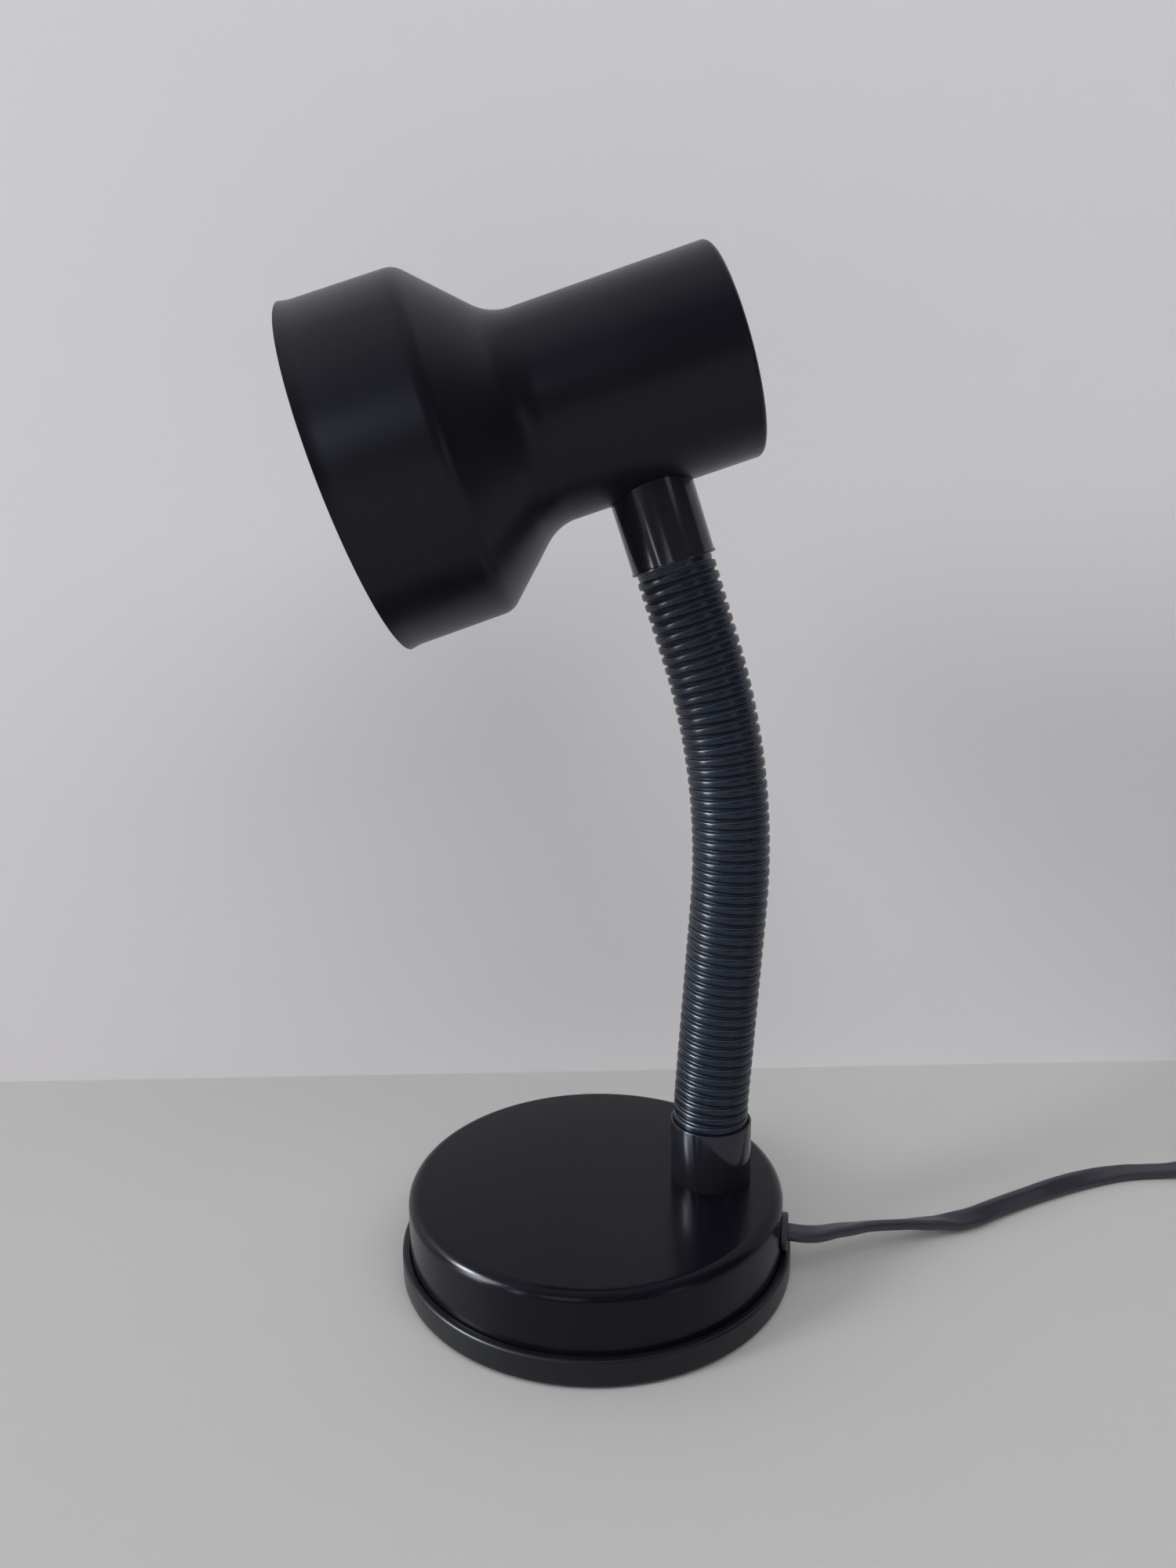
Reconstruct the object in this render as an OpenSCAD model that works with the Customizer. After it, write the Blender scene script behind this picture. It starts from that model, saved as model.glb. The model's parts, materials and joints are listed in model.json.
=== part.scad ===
// Gooseneck desk lamp: a weighted round base, a ribbed flexible neck and a pressed shade,
// with a flat cord, an inline rocker switch and a two-pin plug.
// Sizes are in millimetres. The origin is the centre of the foot pad's lower face, +Z is up,
// and the shade looks towards -X.

/* [Base] */
// Outer radius of the plastic pan
base_r = 65; // [60:0.5:80]
// Height of the pan's rim above the table
pan_h = 9.3; // [7:0.1:12]
// Thickness of the pan's rim
pan_rim = 2.3; // [1.4:0.1:2.6]
// Gap between the pan's rim and the cover's wall
cover_gap = 0.4; // [0.3:0.1:1.6]
// Height of the cover's top above the table
cover_h = 28.4; // [27:0.1:40]
// Radius of the cover's shoulder
cover_round = 3.9; // [2:0.1:6]
// Thickness of the cover's steel
cover_t = 0.9; // [0.6:0.1:1.2]
// Distance from the pan's edge to the foot pad's edge
pad_edge = 6; // [5:0.5:15]
// Thickness of the foot pad
pad_t = 1.5; // [1:0.1:2]
// How far the foot pad stands out below the pan
pad_proud = 0.5; // [0.2:0.1:0.8]
// Thickness of the pan's floor above the foot pad
pan_floor = 2.5; // [2:0.1:3]
// Gap between the cast ballast and the cover's wall
ballast_gap = 2.4; // [1.9:0.1:8]
// Thickness of the cast ballast
ballast_h = 8; // [6:0.5:8.5]
// Distance from the pan's edge to the middles of the three posts
post_inset = 23; // [19:0.5:32]
// Outer radius of a post
post_r = 4; // [3:0.1:5]
// Radius of the base screws' shanks
base_screw_r = 1.5; // [1.2:0.1:1.8]

/* [Neck] */
// Distance from the pan's edge to the middle of the neck's foot
neck_inset = 26.1; // [24:0.1:31]
// Outer radius of the lower collar
lower_collar_r = 13.3; // [13.1:0.1:15]
// Height of the lower collar above the cover
lower_collar_h = 20.3; // [18:0.1:21]
// Wall of both collars
collar_t = 0.9; // [0.8:0.1:1.1]
// Radius over the ribs of the sleeve
rib_r = 12.3; // [11.8:0.1:12.6]
// Radius of the sleeve's wall between the ribs
root_r = 10.3; // [10.3:0.1:10.8]
// Distance from one rib to the next
rib_pitch = 3.386; // [3.3:0.01:3.6]
// Width of the groove between two ribs
groove_w = 1.4; // [1.1:0.1:1.6]
// Outer radius of the flexible steel core
core_r = 6.4; // [5.8:0.1:6.5]
// Bore radius of the flexible steel core
core_bore_r = 4.5; // [4.2:0.1:5]
// Height of the lowest bending point above the cover
first_pivot_h = 26.2; // [25.5:0.1:28]
// Ribs between two bending points
link_ribs = 5; // [5:1:6]
// Lean of the neck's straight lower part from the vertical, in degrees
lean_low = 4.5; // [0:0.5:8]
// Lean of the neck's top from the vertical, in degrees
lean_top = -17.5; // [-30:0.5:-5]
// Length of neck above the lowest bending point where the curve starts
curve_from = 67.3; // [50:0.1:80]
// Length of neck above the lowest bending point where the curve ends
curve_to = 151.4; // [130:0.1:165]
// How far one bending point turns each way, in degrees
bend_range = 12; // [8:0.5:12]

/* [Head] */
// Outer radius of the upper collar
upper_collar_r = 12.85; // [12.7:0.05:13.5]
// Distance of the upper collar's lower edge from the highest bending point
upper_collar_at = 8.5; // [8.2:0.1:9.5]
// Distance of the shade's axis from the highest bending point
shade_up = 61.5; // [60:0.1:64]
// Distance of the shade's back face from the upper collar's axis
shade_back = 35; // [32:0.5:40]
// Length of the shade
shade_len = 119; // [116:0.5:130]
// Outer radius of the shade's narrow part
narrow_r = 31; // [29:0.5:32]
// Outer radius of the shade where its wide part begins
wide_r = 50.9; // [48:0.1:54]
// Outer radius of the shade's mouth
mouth_r = 52; // [50:0.1:55]
// Outer radius of the shade where the flare at its mouth begins
flare_r = 51.4; // [49:0.1:54]
// Length of the flare at the shade's mouth
flare_len = 4.5; // [2:0.1:8]
// Distance from the back face at which the shoulder leaves the narrow part
shoulder_at = 64.5; // [62:0.5:68]
// Slope of the shoulder from the shade's axis, in degrees
shoulder_slope = 43; // [38:1:46]
// Radius of the hollow at the shoulder's foot
hollow_round = 15; // [10:0.5:16]
// Radius of the shoulder's outer edge
edge_round = 7; // [2.5:0.1:8]
// Radius of the shade's back edge
back_round = 1.8; // [1.2:0.1:3]
// Thickness of the shade's steel
shade_t = 0.9; // [0.6:0.1:1]
// Outer radius of the lampholder
holder_r = 13.5; // [12.5:0.1:14]
// Length of the lampholder
holder_len = 37; // [34:0.5:38]
// Gap between the shade's back face and the holder bracket
holder_back = 13.8; // [12:0.1:16]
// Radius of the bulb's glass ball
bulb_r = 22.5; // [20:0.5:23]
// Length of the bulb's glass in front of its cap
bulb_len = 55; // [52:0.5:56]

/* [Cord] */
// Width of the flat cord
cord_w = 6.8; // [6:0.1:7.2]
// Thickness of the flat cord
cord_t = 3.8; // [3.2:0.1:4]
// Height of the grommet's middle above the table
grommet_h = 15.5; // [15:0.1:18]
// Turn of the grommet from the neck's side of the base, in degrees
grommet_turn = -13; // [-20:1:-8]
// Radius of the grommet's outer flange
grommet_r = 6.1; // [5.6:0.1:6.1]
// Thickness of the grommet's outer flange
grommet_t = 1.8; // [1.2:0.1:2.5]
// Length of the inline switch
switch_len = 54; // [50:1:60]
// Width of the inline switch
switch_w = 22; // [21:0.5:26]
// Height of the inline switch's lower shell
switch_split = 7.2; // [7:0.1:8]
// Height of the inline switch
switch_h = 15; // [14.5:0.1:18]
// How far the rocker tips from one side to the other, in degrees
rocker_range = 14; // [8:1:16]
// Loops in the coil of spare cord
coil_loops = 6.25; // [4.25:1:8.25]
// Clear gap between neighbouring loops of the coil
coil_gap = 0.5; // [0.45:0.05:1]
// Radius of the coil's innermost loop
coil_in_r = 26.4; // [24:0.1:30]
// Length of the plug's body
plug_len = 35; // [32:0.5:40]
// Width of the plug's body
plug_w = 35.3; // [34:0.1:36]
// Thickness of the plug's body
plug_h = 13.7; // [13:0.1:15]
// Radius of a plug pin
pin_r = 2; // [1.9:0.05:2.1]
// Length of a plug pin
pin_len = 19; // [18:0.5:20]
// Distance between the plug pins
pin_gap = 18.6; // [17:0.1:19]

/* [Hidden] */
$fn = 64;
fit = 0.1;            // a part in its bore
clear = 0.3;          // parts that only lie side by side
eps = 0.01;           // overlap of a cut

link_count = 10;
function two_digits(k) = str(k < 10 ? "0" : "", k);

// ---- shared geometry ----

function unit(v) = v / norm(v);
function arc(r, a0, a1, n, at = [0, 0]) =
    [for (i = [0:n]) let (a = a0 + (a1 - a0) * i / n) at + r * [cos(a), sin(a)]];

// A tube of flat section along points, each with the direction of its width
function flat_section(w, t, n) =
    [for (k = [0:n - 1]) let (a = 360 * k / n, s = sin(a))
        [w / 2 * cos(a), t / 2 * sign(s) * pow(abs(s), 0.6)]];
function heading(p, i) = unit(p[min(i + 1, len(p) - 1)] - p[max(i - 1, 0)]);
function tube_ring(p, i, side, w, t, n) =
    let (d = heading(p, i), s = unit(side - (side * d) * d), up = cross(d, s))
    [for (q = flat_section(w, t, n)) p[i] + q[0] * s + q[1] * up];
function tube_rings(p, sides, w, t, n) =
    [for (i = [0:len(p) - 1]) tube_ring(p, i, sides[i], w, t, n)];
module tube(rings) {
    n = len(rings[0]);
    last = len(rings) - 1;
    walls = [for (i = [0:last - 1], k = [0:n - 1])
        let (a = i * n + k, b = i * n + (k + 1) % n)
        each [[a, b + n, b], [a, a + n, b + n]]];
    start = [for (k = [1:n - 2]) [0, k, k + 1]];
    finish = [for (k = [1:n - 2]) [last * n, last * n + k + 1, last * n + k]];
    polyhedron([for (r = rings) each r], concat(walls, start, finish));
}
// The width's direction for a cord that lies on the table, rolled about its own line
function rolled(p, i, roll) =
    let (d = heading(p, i), flat = unit(cross([0, 0, 1], d)), up = cross(d, flat))
    cos(roll) * flat + sin(roll) * up;

// ---- base ----

floor_z = pad_t + pan_floor;
cover_r = base_r - pan_rim - cover_gap;
ballast_r = cover_r - cover_t - ballast_gap;
pad_r = base_r - pad_edge;
post_ring_r = base_r - post_inset;
neck_x = base_r - neck_inset;
cover_in_z = cover_h - cover_t;
ballast_top = floor_z + ballast_h;
screw_head_r = 3;
screw_head_h = 1.6;
base_screw_len = 12;
thread_r = 5;         // the hollow threaded ends of both nipples
thread_bore_r = 3.6;
nut_flats = 14;
nut_h = 5;
washer_t = 1;

module at_posts() {
    for (a = [90, 210, 330]) rotate([0, 0, a]) translate([post_ring_r, 0, 0]) children();
}
module at_grommet() {
    rotate([0, 0, grommet_turn]) translate([cover_r, 0, grommet_h]) rotate([0, 90, 0]) children();
}
grommet_neck_r = 4.9;

module base_cover() {
    corner = [cover_r - cover_round, cover_h - cover_round];
    color([0.03, 0.03, 0.035]) difference() {
        rotate_extrude($fn = 128) polygon(concat(
            [[cover_r, floor_z]],
            arc(cover_round, 0, 90, 10, corner),
            [[0, cover_h], [0, cover_in_z]],
            arc(cover_round - cover_t, 90, 0, 10, corner),
            [[cover_r - cover_t, floor_z]]));
        translate([neck_x, 0, cover_in_z - 1]) cylinder(r = thread_r + clear, h = cover_t + 2);
        at_grommet() translate([0, 0, -6]) cylinder(r = grommet_neck_r + fit, h = 9);
    }
}
module base_pan() {
    foot_round = 1.5;
    lip = 0.9;        // rounding of the rim's outer and inner edge
    lip_in = 0.5;
    color([0.06, 0.06, 0.065]) difference() {
        rotate_extrude($fn = 128) polygon(concat(
            [[0, pad_t], [pad_r + clear, pad_t], [pad_r + clear, pad_proud]],
            arc(foot_round, -90, 0, 5, [base_r - foot_round, pad_proud + foot_round]),
            arc(lip, 0, 90, 3, [base_r - lip, pan_h - lip]),
            arc(lip_in, 90, 180, 3, [base_r - pan_rim + lip_in, pan_h - lip_in]),
            [[base_r - pan_rim, floor_z], [0, floor_z]]));
        at_posts() {
            translate([0, 0, pad_t - eps]) cylinder(r = screw_head_r + clear, h = screw_head_h + eps);
            cylinder(r = base_screw_r + clear, h = floor_z + 1);
        }
    }
}
module base_pad() {
    color([0.1, 0.1, 0.1]) cylinder(r = pad_r, h = pad_t, $fn = 96);
}
module ballast() {
    color([0.25, 0.25, 0.26]) difference() {
        translate([0, 0, floor_z]) cylinder(r = ballast_r, h = ballast_h, $fn = 96);
        at_posts() cylinder(r = post_r + clear, h = cover_h);
        at_clamp() clamp_holes(ballast_top - 4);
    }
}
module cover_posts() {
    color([0.5, 0.5, 0.52]) at_posts() difference() {
        translate([0, 0, floor_z]) cylinder(r = post_r, h = cover_in_z - floor_z);
        translate([0, 0, floor_z - 1]) cylinder(r = base_screw_r + fit, h = base_screw_len + 1);
    }
}
module screw(head_r, head_h, r, len) {
    difference() {
        union() {
            cylinder(r = head_r, h = head_h);
            cylinder(r = r, h = len);
        }
        translate([-head_r, -0.4, -eps]) cube([2 * head_r, 0.8, head_h / 2]);
    }
}
module base_screws() {
    color([0.6, 0.6, 0.62]) at_posts() translate([0, 0, pad_t])
        screw(screw_head_r, screw_head_h, base_screw_r, base_screw_len);
}

// ---- cord entry ----

grommet_lip_at = cover_t + 0.45;
module flat_slot(len) {
    r = (cord_t + 2 * clear) / 2;
    for (s = [-1, 1]) translate([0, s * (cord_w - cord_t) / 2, 0]) cylinder(r = r, h = len);
    translate([-r, -(cord_w - cord_t) / 2, 0]) cube([2 * r, cord_w - cord_t, len]);
}
module grommet() {
    soft = 0.7;
    tail = 1.4;
    color([0.05, 0.05, 0.055]) at_grommet() difference() {
        rotate_extrude() polygon(concat(
            [[0, -grommet_lip_at - tail], [grommet_neck_r, -grommet_lip_at - tail],
             [grommet_neck_r + 1.1, -grommet_lip_at], [grommet_neck_r, -grommet_lip_at],
             [grommet_neck_r, eps], [grommet_r, eps]],
            arc(soft, 0, 90, 4, [grommet_r - soft, grommet_t - soft]),
            [[0, grommet_t]]));
        translate([0, 0, -6]) flat_slot(12);
    }
}
clamp_at = 0.42;      // share of the way from the grommet to the neck
clamp_len = 7;
clamp_w = 19.2;
clamp_t = 1.4;
clamp_screw_r = 1.3;
clamp_screw_y = 7.3;
clamp_head_h = 1.2;
grommet_xy = cover_r * [cos(grommet_turn), sin(grommet_turn)];
clamp_xy = grommet_xy + clamp_at * ([neck_x, 0] - grommet_xy);
clamp_turn = atan2(-grommet_xy[1], neck_x - grommet_xy[0]);
clamp_cord_z = ballast_top + clear + cord_t / 2;
module at_clamp() {
    translate([clamp_xy[0], clamp_xy[1], 0]) rotate([0, 0, clamp_turn]) children();
}
module clamp_holes(from_z) {
    for (s = [-1, 1]) translate([0, s * clamp_screw_y, from_z])
        cylinder(r = clamp_screw_r + fit, h = 12);
}
module cord_clamp() {
    hump_w = cord_w + 2 * clear;
    hump_h = cord_t + 2 * clear;
    color([0.8, 0.8, 0.78]) at_clamp() difference() {
        translate([0, 0, ballast_top]) union() {
            translate([-clamp_len / 2, -clamp_w / 2, 0]) cube([clamp_len, clamp_w, clamp_t]);
            translate([-clamp_len / 2, -hump_w / 2 - clamp_t, 0])
                cube([clamp_len, hump_w + 2 * clamp_t, hump_h + clamp_t]);
        }
        translate([-clamp_len, -hump_w / 2, ballast_top - 1]) cube([2 * clamp_len, hump_w, hump_h + 1]);
        clamp_holes(ballast_top - 1);
    }
}
module clamp_screws() {
    color([0.6, 0.6, 0.62]) at_clamp() for (s = [-1, 1])
        translate([0, s * clamp_screw_y, ballast_top + clamp_t + clamp_head_h + eps])
            rotate([180, 0, 0]) screw(1.9, clamp_head_h, clamp_screw_r, 5.5);
}

// ---- neck fittings on the base ----

collar_floor = 1.2;
ferrule_r = 8.6;
ferrule_h = 13;       // top of the lower ferrule above the cover
ferrule_floor = 2;
module nut(at_z) {
    translate([0, 0, at_z]) difference() {
        cylinder(d = nut_flats / cos(30), h = nut_h, $fn = 6);
        translate([0, 0, -1]) cylinder(r = thread_r + fit, h = nut_h + 2);
    }
}
module lower_collar() {
    color([0.02, 0.02, 0.025]) translate([neck_x, 0, cover_h]) rotate_extrude() polygon([
        [thread_r + clear, 0], [lower_collar_r, 0],
        [lower_collar_r, lower_collar_h - 0.3], [lower_collar_r - 0.3, lower_collar_h],
        [lower_collar_r - collar_t, lower_collar_h], [lower_collar_r - collar_t, collar_floor],
        [thread_r + clear, collar_floor]]);
}
lower_thread_end = cover_in_z - washer_t - nut_h - 1;
module lower_nipple() {
    color([0.7, 0.7, 0.72]) translate([neck_x, 0, 0]) rotate_extrude() polygon([
        [thread_bore_r, lower_thread_end], [thread_r, lower_thread_end],
        [thread_r, cover_h + collar_floor], [ferrule_r, cover_h + collar_floor],
        [ferrule_r, cover_h + ferrule_h], [core_r + fit, cover_h + ferrule_h],
        [core_r + fit, cover_h + collar_floor + ferrule_floor],
        [thread_bore_r, cover_h + collar_floor + ferrule_floor]]);
}
module lower_washer() {
    color([0.65, 0.65, 0.67]) translate([neck_x, 0, cover_in_z - washer_t]) difference() {
        cylinder(r = nut_flats / 2 + 2.5, h = washer_t);
        translate([0, 0, -1]) cylinder(r = thread_r + clear, h = washer_t + 2);
    }
}
module lower_nut() {
    color([0.65, 0.65, 0.67]) translate([neck_x, 0, 0]) nut(cover_in_z - washer_t - nut_h);
}

// ---- neck ----

link_len = link_ribs * rib_pitch;
first_pivot = [neck_x, 0, cover_h + first_pivot_h];
function lean_at(s) =
    lean_low + (lean_top - lean_low) * min(1, max(0, (s - curve_from) / (curve_to - curve_from)));
function link_lean(k) = lean_at((k - 0.5) * link_len);
// Bending points 1 to 11: point k lies below link k
function pivot(k) = k == 1 ? first_pivot
    : pivot(k - 1) + link_len * [sin(link_lean(k - 1)), 0, cos(link_lean(k - 1))];
module on_link(k) { translate(pivot(k)) rotate([0, link_lean(k), 0]) children(); }
module on_head() { translate(pivot(link_count + 1)) rotate([0, lean_top, 0]) children(); }

// Each bending point lies in a groove. The section below it ends in a thin ball shell, which
// turns inside a round socket in the section above it.
kink = 4.5;                                 // the rest curve's largest turn at one point
flank = (bend_range + kink) / 2 + 0.3;      // half of the groove's opening at a bending point
ball_cover = bend_range + kink + flank + 1; // how far the ball reaches up into the socket
ball_r = root_r - 0.35;
ball_t = 0.75;
socket_r = ball_r + clear;
sleeve_bore_r = core_r + fit;
rib_w = rib_pitch - groove_w;
rib_soft = 0.45;
core_gap = 1.25;      // from a bending point to the core's ends

function socket_arc() = arc(socket_r, acos(sleeve_bore_r / socket_r), flank, 9);
function ball_arcs(z) = concat(
    arc(ball_r, -flank, ball_cover, 7, [0, z]),
    arc(ball_r - ball_t, ball_cover, -acos(sleeve_bore_r / (ball_r - ball_t)), 12, [0, z]));
function whole_rib(z) = concat(
    [[root_r, z - rib_w / 2 - 0.1]],
    arc(rib_soft, -90, 0, 3, [rib_r - rib_soft, z - rib_w / 2 + rib_soft]),
    arc(rib_soft, 0, 90, 3, [rib_r - rib_soft, z + rib_w / 2 - rib_soft]),
    [[root_r, z + rib_w / 2 + 0.1]]);
// The ribs beside a bending point are cut back by the groove's flank
flank_soft = 0.3;
function flank_z(r) = r * tan(flank);
function first_rib() = let (r = rib_r - flank_soft) concat(
    [[r, flank_z(r)], [rib_r, flank_z(r) + flank_soft]],
    arc(rib_soft, 0, 90, 3, [rib_r - rib_soft, (rib_pitch + rib_w) / 2 - rib_soft]),
    [[root_r, (rib_pitch + rib_w) / 2 + 0.1]]);
function flipped(points, z) = [for (i = [len(points) - 1:-1:0]) [points[i][0], z - points[i][1]]];
function ribs_between(from, count) =
    [for (i = [0:1:count - 1]) each whole_rib(from + (i + 0.5) * rib_pitch)];

module sleeve(points) {
    color([0.05, 0.055, 0.065]) rotate_extrude($fn = 96) polygon(points);
}
module neck_sleeve(k) {
    on_link(k) sleeve(concat(
        socket_arc(), first_rib(), ribs_between(rib_pitch, link_ribs - 2),
        flipped(first_rib(), link_len), ball_arcs(link_len)));
}
module core(len) {
    color([0.6, 0.6, 0.62]) translate([0, 0, core_gap]) difference() {
        cylinder(r = core_r, h = len);
        translate([0, 0, -1]) cylinder(r = core_bore_r, h = len + 2);
    }
}
module neck_core(k) { on_link(k) core(link_len - 2 * core_gap); }

foot_spigot_r = lower_collar_r - collar_t - clear;
module sleeve_foot() {
    bottom = ferrule_h - first_pivot_h;
    shoulder = -2 * rib_pitch;
    translate(first_pivot) sleeve(concat(
        [[sleeve_bore_r, bottom], [foot_spigot_r, bottom], [foot_spigot_r, shoulder - 0.7],
         [root_r, shoulder - 0.7]],
        whole_rib(-1.5 * rib_pitch), flipped(first_rib(), 0), ball_arcs(0)));
}
module core_foot() {
    bottom = cover_h + collar_floor + ferrule_floor;
    translate([neck_x, 0, bottom - core_gap]) core(first_pivot[2] - core_gap - bottom);
}

// ---- head: its own frame stands on the highest bending point, +Z along the upper collar ----

spigot_top = 14;
head_spigot_r = upper_collar_r - collar_t - clear;
shade_low = shade_up - narrow_r;            // the shade's lowest line over the collar
core_head_top = spigot_top + 12;
ferrule_top = shade_low - clear;
bracket_w = 14;
bracket_t = 1.2;
bracket_z = shade_up - sqrt(pow(narrow_r - shade_t, 2) - pow(bracket_w / 2, 2)) + fit;
upper_thread_end = bracket_z + bracket_t + nut_h + 1;
bracket_x = shade_back - holder_back;       // the bracket's face towards the shade's back
holder_x = bracket_x - bracket_t;           // the lampholder's rear face
module on_shade_axis() {
    on_head() translate([shade_back, 0, shade_up]) rotate([0, -90, 0]) children();
}

module sleeve_head() {
    shoulder = 2 * rib_pitch;
    on_head() sleeve(concat(
        socket_arc(), first_rib(), whole_rib(1.5 * rib_pitch),
        [[root_r, shoulder + 0.7], [head_spigot_r, shoulder + 0.7], [head_spigot_r, spigot_top],
         [sleeve_bore_r, spigot_top]]));
}
module core_head() { on_head() core(core_head_top - core_gap); }
module upper_collar() {
    lip = 0.3;
    color([0.02, 0.02, 0.025]) on_head() difference() {
        rotate_extrude() polygon([
            [upper_collar_r - collar_t, upper_collar_at], [upper_collar_r + lip, upper_collar_at],
            [upper_collar_r + lip, upper_collar_at + 0.8], [upper_collar_r, upper_collar_at + 1.2],
            [upper_collar_r, shade_low + 6], [upper_collar_r - collar_t, shade_low + 6]]);
        translate([-2 * upper_collar_r, 0, shade_up]) rotate([0, 90, 0])
            cylinder(r = narrow_r + clear, h = 4 * upper_collar_r, $fn = 96);
    }
}
module upper_nipple() {
    color([0.7, 0.7, 0.72]) on_head() rotate_extrude() polygon([
        [core_r + fit, spigot_top], [ferrule_r, spigot_top], [ferrule_r, ferrule_top],
        [thread_r, ferrule_top], [thread_r, upper_thread_end], [thread_bore_r, upper_thread_end],
        [thread_bore_r, core_head_top], [core_r + fit, core_head_top]]);
}
module upper_nut() {
    color([0.65, 0.65, 0.67]) on_head() nut(bracket_z + bracket_t + eps);
}

// The shade's outline, as [radius, distance from the back face], moved in by a wall thickness
hollow_at = shoulder_at - hollow_round * tan(shoulder_slope / 2);
shade_seam = hollow_at - 2.5;               // where the shade's two solids meet
function shade_flare(in) =
    let (slope = shoulder_slope,
         flare = atan((flare_r - wide_r) / (shade_len - flare_len - shoulder_at)),
         edge_turn = slope - flare,
         edge_at = shoulder_at + (wide_r - narrow_r) / tan(slope)
             + edge_round * tan(edge_turn / 2) * cos(flare),
         edge_x = wide_r - edge_round)
    concat(
        [[narrow_r - in, shade_seam]],
        arc(hollow_round + in, 180, 180 - slope, 10, [narrow_r + hollow_round, hollow_at]),
        arc(edge_round - in, -slope, -flare, 7, [edge_x, edge_at]),
        [[flare_r - in, shade_len - flare_len],
         [flare_r + 0.3 * (mouth_r - flare_r) - in, shade_len - flare_len / 2],
         [mouth_r - in, shade_len]]);
function shade_can(in) = concat(
    [[0, in]],
    arc(back_round - in, -90, 0, 5, [narrow_r - back_round, back_round]),
    [[narrow_r - in, shade_seam]]);
module shade_shell(outer, inner) {
    on_shade_axis() rotate_extrude($fn = 128) polygon(concat(
        outer, [for (i = [len(inner) - 1:-1:0]) inner[i]]));
}
module shade() { color([0.03, 0.03, 0.035]) shade_shell(shade_flare(0), shade_flare(shade_t)); }
module shade_back_can() {
    color([0.03, 0.03, 0.035]) difference() {
        shade_shell(shade_can(0), shade_can(shade_t));
        on_head() translate([0, 0, shade_low - 3]) cylinder(r = thread_r + clear, h = 8);
    }
}
lead_z = bracket_z + 12;                    // the lead's height where it passes the bracket
holder_screw_up = 9.3;
holder_screw_r = 1.4;
module holder_bracket() {
    toe = 10;
    top = shade_up + holder_r - 1;
    color([0.7, 0.7, 0.72]) on_head() difference() {
        union() {
            translate([-toe, -bracket_w / 2, bracket_z])
                cube([bracket_x + toe, bracket_w, bracket_t]);
            translate([holder_x, -bracket_w / 2, bracket_z])
                cube([bracket_t, bracket_w, top - bracket_z]);
        }
        translate([0, 0, bracket_z - 1]) cylinder(r = thread_r + clear, h = bracket_t + 2);
        translate([holder_x - 1, 0, 0]) rotate([0, 90, 0]) {
            translate([-lead_z, 0, 0]) flat_slot(bracket_t + 2);
            translate([-shade_up, 0, 0]) cylinder(r = core_bore_r, h = bracket_t + 2);
            for (s = [-1, 1]) translate([-shade_up + s * holder_screw_up, 0, 0])
                cylinder(r = holder_screw_r + fit, h = bracket_t + 2);
        }
    }
}
module holder_screws() {
    head_h = 1.4;
    color([0.6, 0.6, 0.62]) on_head() for (s = [-1, 1])
        translate([bracket_x + head_h + eps, 0, shade_up + s * holder_screw_up]) rotate([0, -90, 0])
            screw(2.3, head_h, holder_screw_r, 9);
}

// ---- lampholder and bulb, on the shade's axis, counted from the back face ----

holder_s = shade_back - holder_x;
holder_end = holder_s + holder_len;
cap_r = 7;
cap_len = 22;
cap_s = holder_end - cap_len - 2;           // the cap's rear face
shell_r = cap_r + clear;
shell_t = 0.5;
contact_s = cap_s - 6;
tip_s = cap_s - 2.2;
module lampholder() {
    waist = holder_r - 1.2;
    collar_s = holder_s + holder_len * 0.42;
    color([0.9, 0.89, 0.85]) difference() {
        on_shade_axis() rotate_extrude() polygon([
            [core_bore_r, holder_s], [waist, holder_s], [waist, collar_s], [holder_r, collar_s],
            [holder_r, holder_end - 1], [holder_r - 1, holder_end],
            [shell_r + shell_t + fit, holder_end], [shell_r + shell_t + fit, cap_s],
            [4, cap_s], [4, contact_s], [core_bore_r - 2, contact_s],
            [core_bore_r - 2, holder_s + 3], [core_bore_r, holder_s + 3]]);
        on_head() for (s = [-1, 1])
            translate([holder_x + 1, 0, shade_up + s * holder_screw_up]) rotate([0, -90, 0])
                cylinder(r = holder_screw_r + fit, h = 9);
    }
}
module holder_contacts() {
    color([0.85, 0.65, 0.25]) on_shade_axis() {
        translate([0, 0, contact_s + eps]) union() {
            cylinder(r = 3.6, h = 1);
            cylinder(r = 1.6, h = tip_s - contact_s - fit);
        }
        translate([0, 0, cap_s + eps]) difference() {
            cylinder(r = shell_r + shell_t, h = cap_len - 3);
            translate([0, 0, -1]) cylinder(r = shell_r, h = cap_len);
        }
    }
}
module bulb_cap() {
    thread = 1.4;
    turns = floor((cap_len - 7) / (2 * thread));
    color([0.8, 0.7, 0.45]) on_shade_axis() rotate_extrude() polygon(concat(
        [[0, tip_s], [2.4, tip_s], [2.8, cap_s + fit], [cap_r - 1, cap_s + 0.6]],
        [for (i = [0:turns - 1]) let (z = cap_s + 1 + 2 * thread * i)
            each [[cap_r, z], [cap_r, z + thread], [cap_r - 0.5, z + 1.2 * thread],
                  [cap_r - 0.5, z + 1.8 * thread]]],
        [[cap_r, cap_s + cap_len - 4], [cap_r, cap_s + cap_len], [0, cap_s + cap_len]]));
}
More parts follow.
